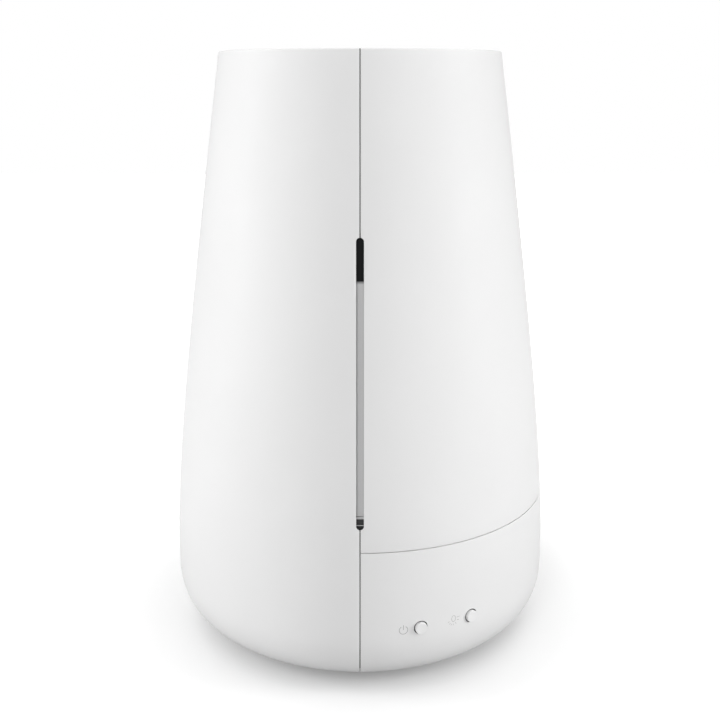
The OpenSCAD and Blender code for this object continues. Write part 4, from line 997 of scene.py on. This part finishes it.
def printed_marks(name, turn, z0, strokes, width):
    """Strokes of ink that follow the wall; each stroke is (points, closed)."""
    verts, faces = [], []
    for points, closed in strokes:
        count = len(points)
        base = len(verts)
        for i, (u, v) in enumerate(points):
            before = points[i - 1] if closed or i else points[i]
            after = points[(i + 1) % count] if closed or i < count - 1 else points[i]
            along = Vector((after[0] - before[0], after[1] - before[1])).normalized()
            du, dv = -along.y * width / 2, along.x * width / 2
            for side, lift in ((1, INK_LIFT), (-1, INK_LIFT), (-1, -INK_ROOT), (1, -INK_ROOT)):
                verts.append(on_wall(turn, z0, u + side * du, v + side * dv, lift))
        for i in range(count if closed else count - 1):
            a, b = base + 4 * i, base + 4 * ((i + 1) % count)
            for k in range(4):
                n = (k + 1) % 4
                faces.append([a + k, a + n, b + n, b + k])
        if not closed:
            end = base + 4 * (count - 1)
            faces += [[base, base + 3, base + 2, base + 1], [end, end + 1, end + 2, end + 3]]
    mesh = bpy.data.meshes.new(name)
    mesh.from_pydata(verts, [], faces)
    placed(name, outward(mesh), mark_ink, "base", crease=50)


def arc(radius, start, end, steps):
    turns = [math.radians(start + (end - start) * i / steps) for i in range(steps + 1)]
    return [(radius * math.sin(t), radius * math.cos(t)) for t in turns]


def straight(u0, v0, u1, v1, steps=4):
    return [(u0 + (u1 - u0) * i / steps, v0 + (v1 - v0) * i / steps) for i in range(steps + 1)]


POWER_MARK_TURN = math.radians(11.85)
POWER_MARK_Z = BUTTON_Z - 0.2 * MM
POWER_RING_R = 2.26 * MM
POWER_GAP = 31
POWER_BAR = (0.2 * MM, 2.85 * MM)
POWER_INK = 0.31 * MM
power_strokes = [(arc(POWER_RING_R, POWER_GAP, 360 - POWER_GAP, 48), False),
                 (straight(0, POWER_BAR[0], 0, POWER_BAR[1]), False)]
printed_marks("power_mark", POWER_MARK_TURN, POWER_MARK_Z, power_strokes, POWER_INK)

LIGHT_MARK_TURN = math.radians(26.66)
LIGHT_MARK_Z = BUTTON_Z + 0.8 * MM
BULB_R = 1.2 * MM
BULB_LEAN = (0.94, 0.34)
BULB_SHIFT = (0.1 * MM, 0.3 * MM)
BULB_STRETCH = 1.45
RAY_BEARINGS = (148, 180, 204, 226, 252)
RAY_REACH = (2.5 * MM, 3.4 * MM)
LIGHT_INK = 0.23 * MM
bulb = []
for u, v in arc(BULB_R, 0, 345, 23):
    lean_u = u * BULB_LEAN[0] + v * BULB_LEAN[1] + BULB_SHIFT[0]
    lean_v = v * BULB_LEAN[0] - u * BULB_LEAN[1] + BULB_SHIFT[1]
    bulb.append((lean_u, lean_v * BULB_STRETCH))
light_strokes = [(bulb, True), (straight(2 * MM, 0.8 * MM, 3.8 * MM, 1 * MM), False),
                 (straight(2.2 * MM, -0.6 * MM, 3.4 * MM, -0.9 * MM), False)]
for bearing in RAY_BEARINGS:
    u, v = math.sin(math.radians(bearing)), math.cos(math.radians(bearing))
    near, far = RAY_REACH
    light_strokes.append((straight(near * u, near * v, far * u, far * v), False))
printed_marks("light_mark", LIGHT_MARK_TURN, LIGHT_MARK_Z, light_strokes, LIGHT_INK)

# ---- Lid and nozzle ----

LID_TOP = RIM_Z - 3.2 * MM
LID_UNDER = LID_TOP - 2.8 * MM
BORE_R = 18.5 * MM
BOSS_R = 20.5 * MM
SKIRT_R = 62.7 * MM
SKIRT_OUTER_R = SKIRT_R + 2 * MM
lid_low, lid_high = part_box("lid")
lid_r = lid_high.x
skirt_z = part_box("lid_gasket")[1].z + 0.02 * MM
lid_corners = [(BORE_R, min(lid_low.z, skirt_z)), (BOSS_R, lid_low.z),
               (BOSS_R, LID_UNDER), (SKIRT_R, LID_UNDER), (SKIRT_R, skirt_z),
               (SKIRT_OUTER_R, skirt_z), (SKIRT_OUTER_R, LID_UNDER), (lid_r, LID_UNDER),
               (lid_r, LID_TOP), (BORE_R, LID_TOP)]
lid_rounds = [0.3 * MM, 0.3 * MM, 0, 0, 0.3 * MM, 0.3 * MM, 0, 0.3 * MM, 0.8 * MM, 0.4 * MM]
lid_mesh = turned("lid cover", rounded_profile(lid_corners, lid_rounds), top_white)

GRIP_R = 12 * MM
GRIP_FLOOR = LID_TOP - 1.4 * MM
grip_y = lid_r + 2 * MM
grip_steps = [(-0.4 * MM, GRIP_FLOOR), (-0.12 * MM, GRIP_FLOOR + 0.12 * MM),
              (0, GRIP_FLOOR + 0.4 * MM), (0, LID_TOP - 0.3 * MM),
              (0.35 * MM, LID_TOP + 0.05 * MM), (0.35 * MM, LID_TOP + 2 * MM)]
grip_tool = lofted("finger notch", [upright_ring(0, grip_y, GRIP_R + grow, z)
                                    for grow, z in grip_steps])
lid_mesh = combined("lid cover", lid_mesh, [grip_tool])
placed("lid_cover", lid_mesh, top_white, "lid", ["lid"])

CAP_UNDER = LID_TOP + 0.15 * MM
CAP_R = 22 * MM
CAP_TOP = CAP_UNDER + 1.8 * MM
HUB_R = BORE_R - 0.08 * MM
HUB_INNER_R = HUB_R - 2 * MM
nozzle_low, nozzle_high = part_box("nozzle")
nozzle_corners = [(0, CAP_UNDER), (HUB_INNER_R, CAP_UNDER), (HUB_INNER_R, nozzle_low.z),
                  (HUB_R, nozzle_low.z), (HUB_R, CAP_UNDER), (CAP_R, CAP_UNDER),
                  (CAP_R, CAP_TOP), (0, CAP_TOP)]
nozzle_rounds = [0, 0, 0.3 * MM, 0.3 * MM, 0, 0.2 * MM, 0.7 * MM, 0]
nozzle_mesh = turned("nozzle cap", rounded_profile(nozzle_corners, nozzle_rounds), top_white,
                     closed=False, columns=128)


def stadium_ring(length, width, y, z, count=16):
    half, r = (length - width) / 2, width / 2
    points = []
    for centre, start in ((half, -QUARTER), (-half, QUARTER)):
        for i in range(count + 1):
            t = start + math.pi * i / count
            points.append((centre + r * math.cos(t), y + r * math.sin(t), z))
    return points


def stadium_solid(name, size, steps):
    """A long solid with round ends; each step is how far it grows and at what height."""
    length, width, y = size
    return lofted(name, [stadium_ring(length + 2 * grow, width + 2 * grow, y, z)
                         for grow, z in steps])


OUTLET = (20 * MM, 7 * MM, -6 * MM)
GRIP_RIB = (26.4 * MM, 2.4 * MM, 7.2 * MM)
outlet_tool = stadium_solid("mist outlet", OUTLET, [
    (0, CAP_UNDER - 2 * MM), (0, CAP_TOP - 0.5 * MM), (0.15 * MM, CAP_TOP - 0.15 * MM),
    (0.6 * MM, CAP_TOP + 0.1 * MM), (0.6 * MM, CAP_TOP + 2 * MM)])
nozzle_mesh = combined("nozzle cap", nozzle_mesh, [outlet_tool])
rib_tool = stadium_solid("grip rib", GRIP_RIB, [
    (0, CAP_TOP - 0.9 * MM), (0, nozzle_high.z - 0.4 * MM),
    (-0.12 * MM, nozzle_high.z - 0.12 * MM), (-0.4 * MM, nozzle_high.z)])
nozzle_mesh = combined("nozzle cap", nozzle_mesh, [rib_tool], "UNION")
placed("nozzle_cap", nozzle_mesh, top_white, "nozzle", ["nozzle"])

# ---- Feet and the screws under the body, set out in pairs ----

FOOT_GROOVE = 0.3 * MM
FOOT_ROUND = 0.5 * MM
foot_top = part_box("rubber_feet")[1].z
foot_points = [(0, FOOT_GROOVE), (3 * MM, FOOT_GROOVE), (3.2 * MM, 0), (4.6 * MM, 0),
               (4.8 * MM, FOOT_GROOVE), (5.4 * MM, FOOT_GROOVE), (5.6 * MM, 0)]
foot_points += rounded_corner((FOOT_R, 0), (0, 0), (FOOT_R, 1), FOOT_ROUND)
foot_points += [(FOOT_R, foot_top), (0, foot_top)]
foot_mesh = turned("foot", foot_points, foot_rubber, closed=False, columns=64)
feet = run_tree("rubber feet", foot_mesh, PAIRS, {
    "Count": 4, "Circle": FOOT_CIRCLE, "Middle": QUARTER, "Spread": FOOT_SPREAD}, foot_rubber)
placed("foot_pads", feet, foot_rubber, "base", ["rubber_feet"])

HEAD_ROUND = 0.6 * MM
SHANK_R = 1.45 * MM
TIP_R = 0.5 * MM
TIP_L = 1 * MM
CROSS_L = 1.7 * MM
CROSS_W = 0.35 * MM
screw_low, screw_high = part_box("base_screws")
head_top = screw_low.z + SCREW_HEAD_H
screw_points = [(0, screw_low.z)]
screw_points += rounded_corner((SCREW_HEAD_R, screw_low.z), (0, screw_low.z),
                               (SCREW_HEAD_R, head_top), HEAD_ROUND)
screw_points += [(SCREW_HEAD_R, head_top), (SHANK_R, head_top),
                 (SHANK_R, screw_high.z - TIP_L), (TIP_R, screw_high.z), (0, screw_high.z)]
screw_mesh = turned("base screw", screw_points, screw_steel, closed=False, columns=48)


def cross_arm(name, half_x, half_y):
    """A cutter for one arm of the cross in a screw's head."""
    return lofted(name, [
        [(x * half_x, y * half_y, z) for x, y in ((-1, -1), (1, -1), (1, 1), (-1, 1))]
        for z in (screw_low.z - 0.2 * MM, screw_low.z + 0.7 * MM)])


screw_mesh = combined("base screw", screw_mesh, [cross_arm("cross a", CROSS_L, CROSS_W),
                                                 cross_arm("cross b", CROSS_W, CROSS_L)])
screws = run_tree("base screws", screw_mesh, PAIRS, {
    "Count": 4, "Circle": SCREW_CIRCLE, "Middle": QUARTER, "Spread": SCREW_SPREAD}, screw_steel)
placed("underside_screws", screws, screw_steel, "base", ["base_screws"])

# ---- Floor, world and lights ----

FLOOR_R = 3.0
floor_mesh = bpy.data.meshes.new("floor")
floor_mesh.from_pydata([(-FLOOR_R, -FLOOR_R, 0), (FLOOR_R, -FLOOR_R, 0), (FLOOR_R, FLOOR_R, 0),
                        (-FLOOR_R, FLOOR_R, 0)], [], [(0, 1, 2, 3)])
floor = in_scene("floor", floor_mesh)


def seen_rays(tree):
    """1 for camera, glossy and transmission rays, else 0."""
    path = new_node(tree, "ShaderNodeLightPath").outputs
    total = path["Is Camera Ray"]
    for label in ("Is Glossy Ray", "Is Transmission Ray"):
        total = new_node(tree, "ShaderNodeMath", total, path[label], operation="ADD",
                         use_clamp=True).outputs[0]
    return total


# The floor's own light grows twice on the way out; kept low near the body, it paints the shadow
# round the body darker and tighter than the lamps cast it: (from, up to, by how much)
FLOOR_COLOUR = (0.63, 0.63, 0.63)
FLOOR_GLOW = 0.15
SHADOW_EDGE = (0.084, 0.106, 0.205)
WHITE_EDGE = (0.113, 0.29, 0.62)
floor_material = bpy.data.materials.new("white floor")
floor_material.use_nodes = True
floor_tree = floor_material.node_tree
floor_tree.nodes.clear()
matte = new_node(floor_tree, "ShaderNodeBsdfDiffuse")
matte.inputs["Color"].default_value = (*FLOOR_COLOUR, 1)
floor_place = new_node(floor_tree, "ShaderNodeTexCoord").outputs["Object"]
away = new_node(floor_tree, "ShaderNodeVectorMath", floor_place, operation="LENGTH")
rises = []
for start, (near, far, gain) in ((FLOOR_GLOW, SHADOW_EDGE), (0, WHITE_EDGE)):
    rise = ranged(floor_tree, away.outputs["Value"], near, far, start, start + gain,
                  interpolation_type="SMOOTHSTEP")
    rises.append(rise.outputs["Result"])
glow_total = new_node(floor_tree, "ShaderNodeMath", *rises, operation="ADD")
glow_amount = new_node(floor_tree, "ShaderNodeMath", seen_rays(floor_tree),
                       glow_total.outputs[0], operation="MULTIPLY")
glow = new_node(floor_tree, "ShaderNodeEmission")
floor_tree.links.new(glow_amount.outputs[0], glow.inputs["Strength"])
floor_sum = new_node(floor_tree, "ShaderNodeAddShader", matte.outputs[0], glow.outputs[0])
new_node(floor_tree, "ShaderNodeOutputMaterial", floor_sum.outputs[0])
floor_mesh.materials.append(floor_material)

WORLD_LIGHT = 0.23
world = bpy.data.worlds.new("studio")
scene.world = world
world.use_nodes = True
world_tree = world.node_tree
sky = world_tree.nodes["Background"]
sky.inputs["Color"].default_value = (1, 1, 1, 1)
strength = ranged(world_tree, seen_rays(world_tree), 0, 1, WORLD_LIGHT, 1)
world_tree.links.new(strength.outputs[0], sky.inputs["Strength"])


def softbox(name, place, width, height, power):
    """A flat light that looks at the middle of the body."""
    data = bpy.data.lights.new(name, "AREA")
    data.shape = "RECTANGLE"
    data.size, data.size_y = width, height
    data.energy = power
    lamp = in_scene(name, data)
    lamp.location = place
    lamp.rotation_euler = (Vector(MIDDLE) - Vector(place)).to_track_quat("-Z", "Y").to_euler()


MIDDLE = (0, 0, 0.17)
softbox("left softbox", (-1.15, -0.06, 0.26), 0.3, 0.9, 8.6)
softbox("right softbox", (1.12, -0.24, 0.26), 0.3, 0.9, 9.3)
softbox("top softbox", (0, 0, 1.6), 1.5, 1.3, 13.7)
softbox("front fill", (-0.32, -1.2, 0.75), 0.5, 0.8, 5.8)

scene.view_settings.view_transform = "Standard"
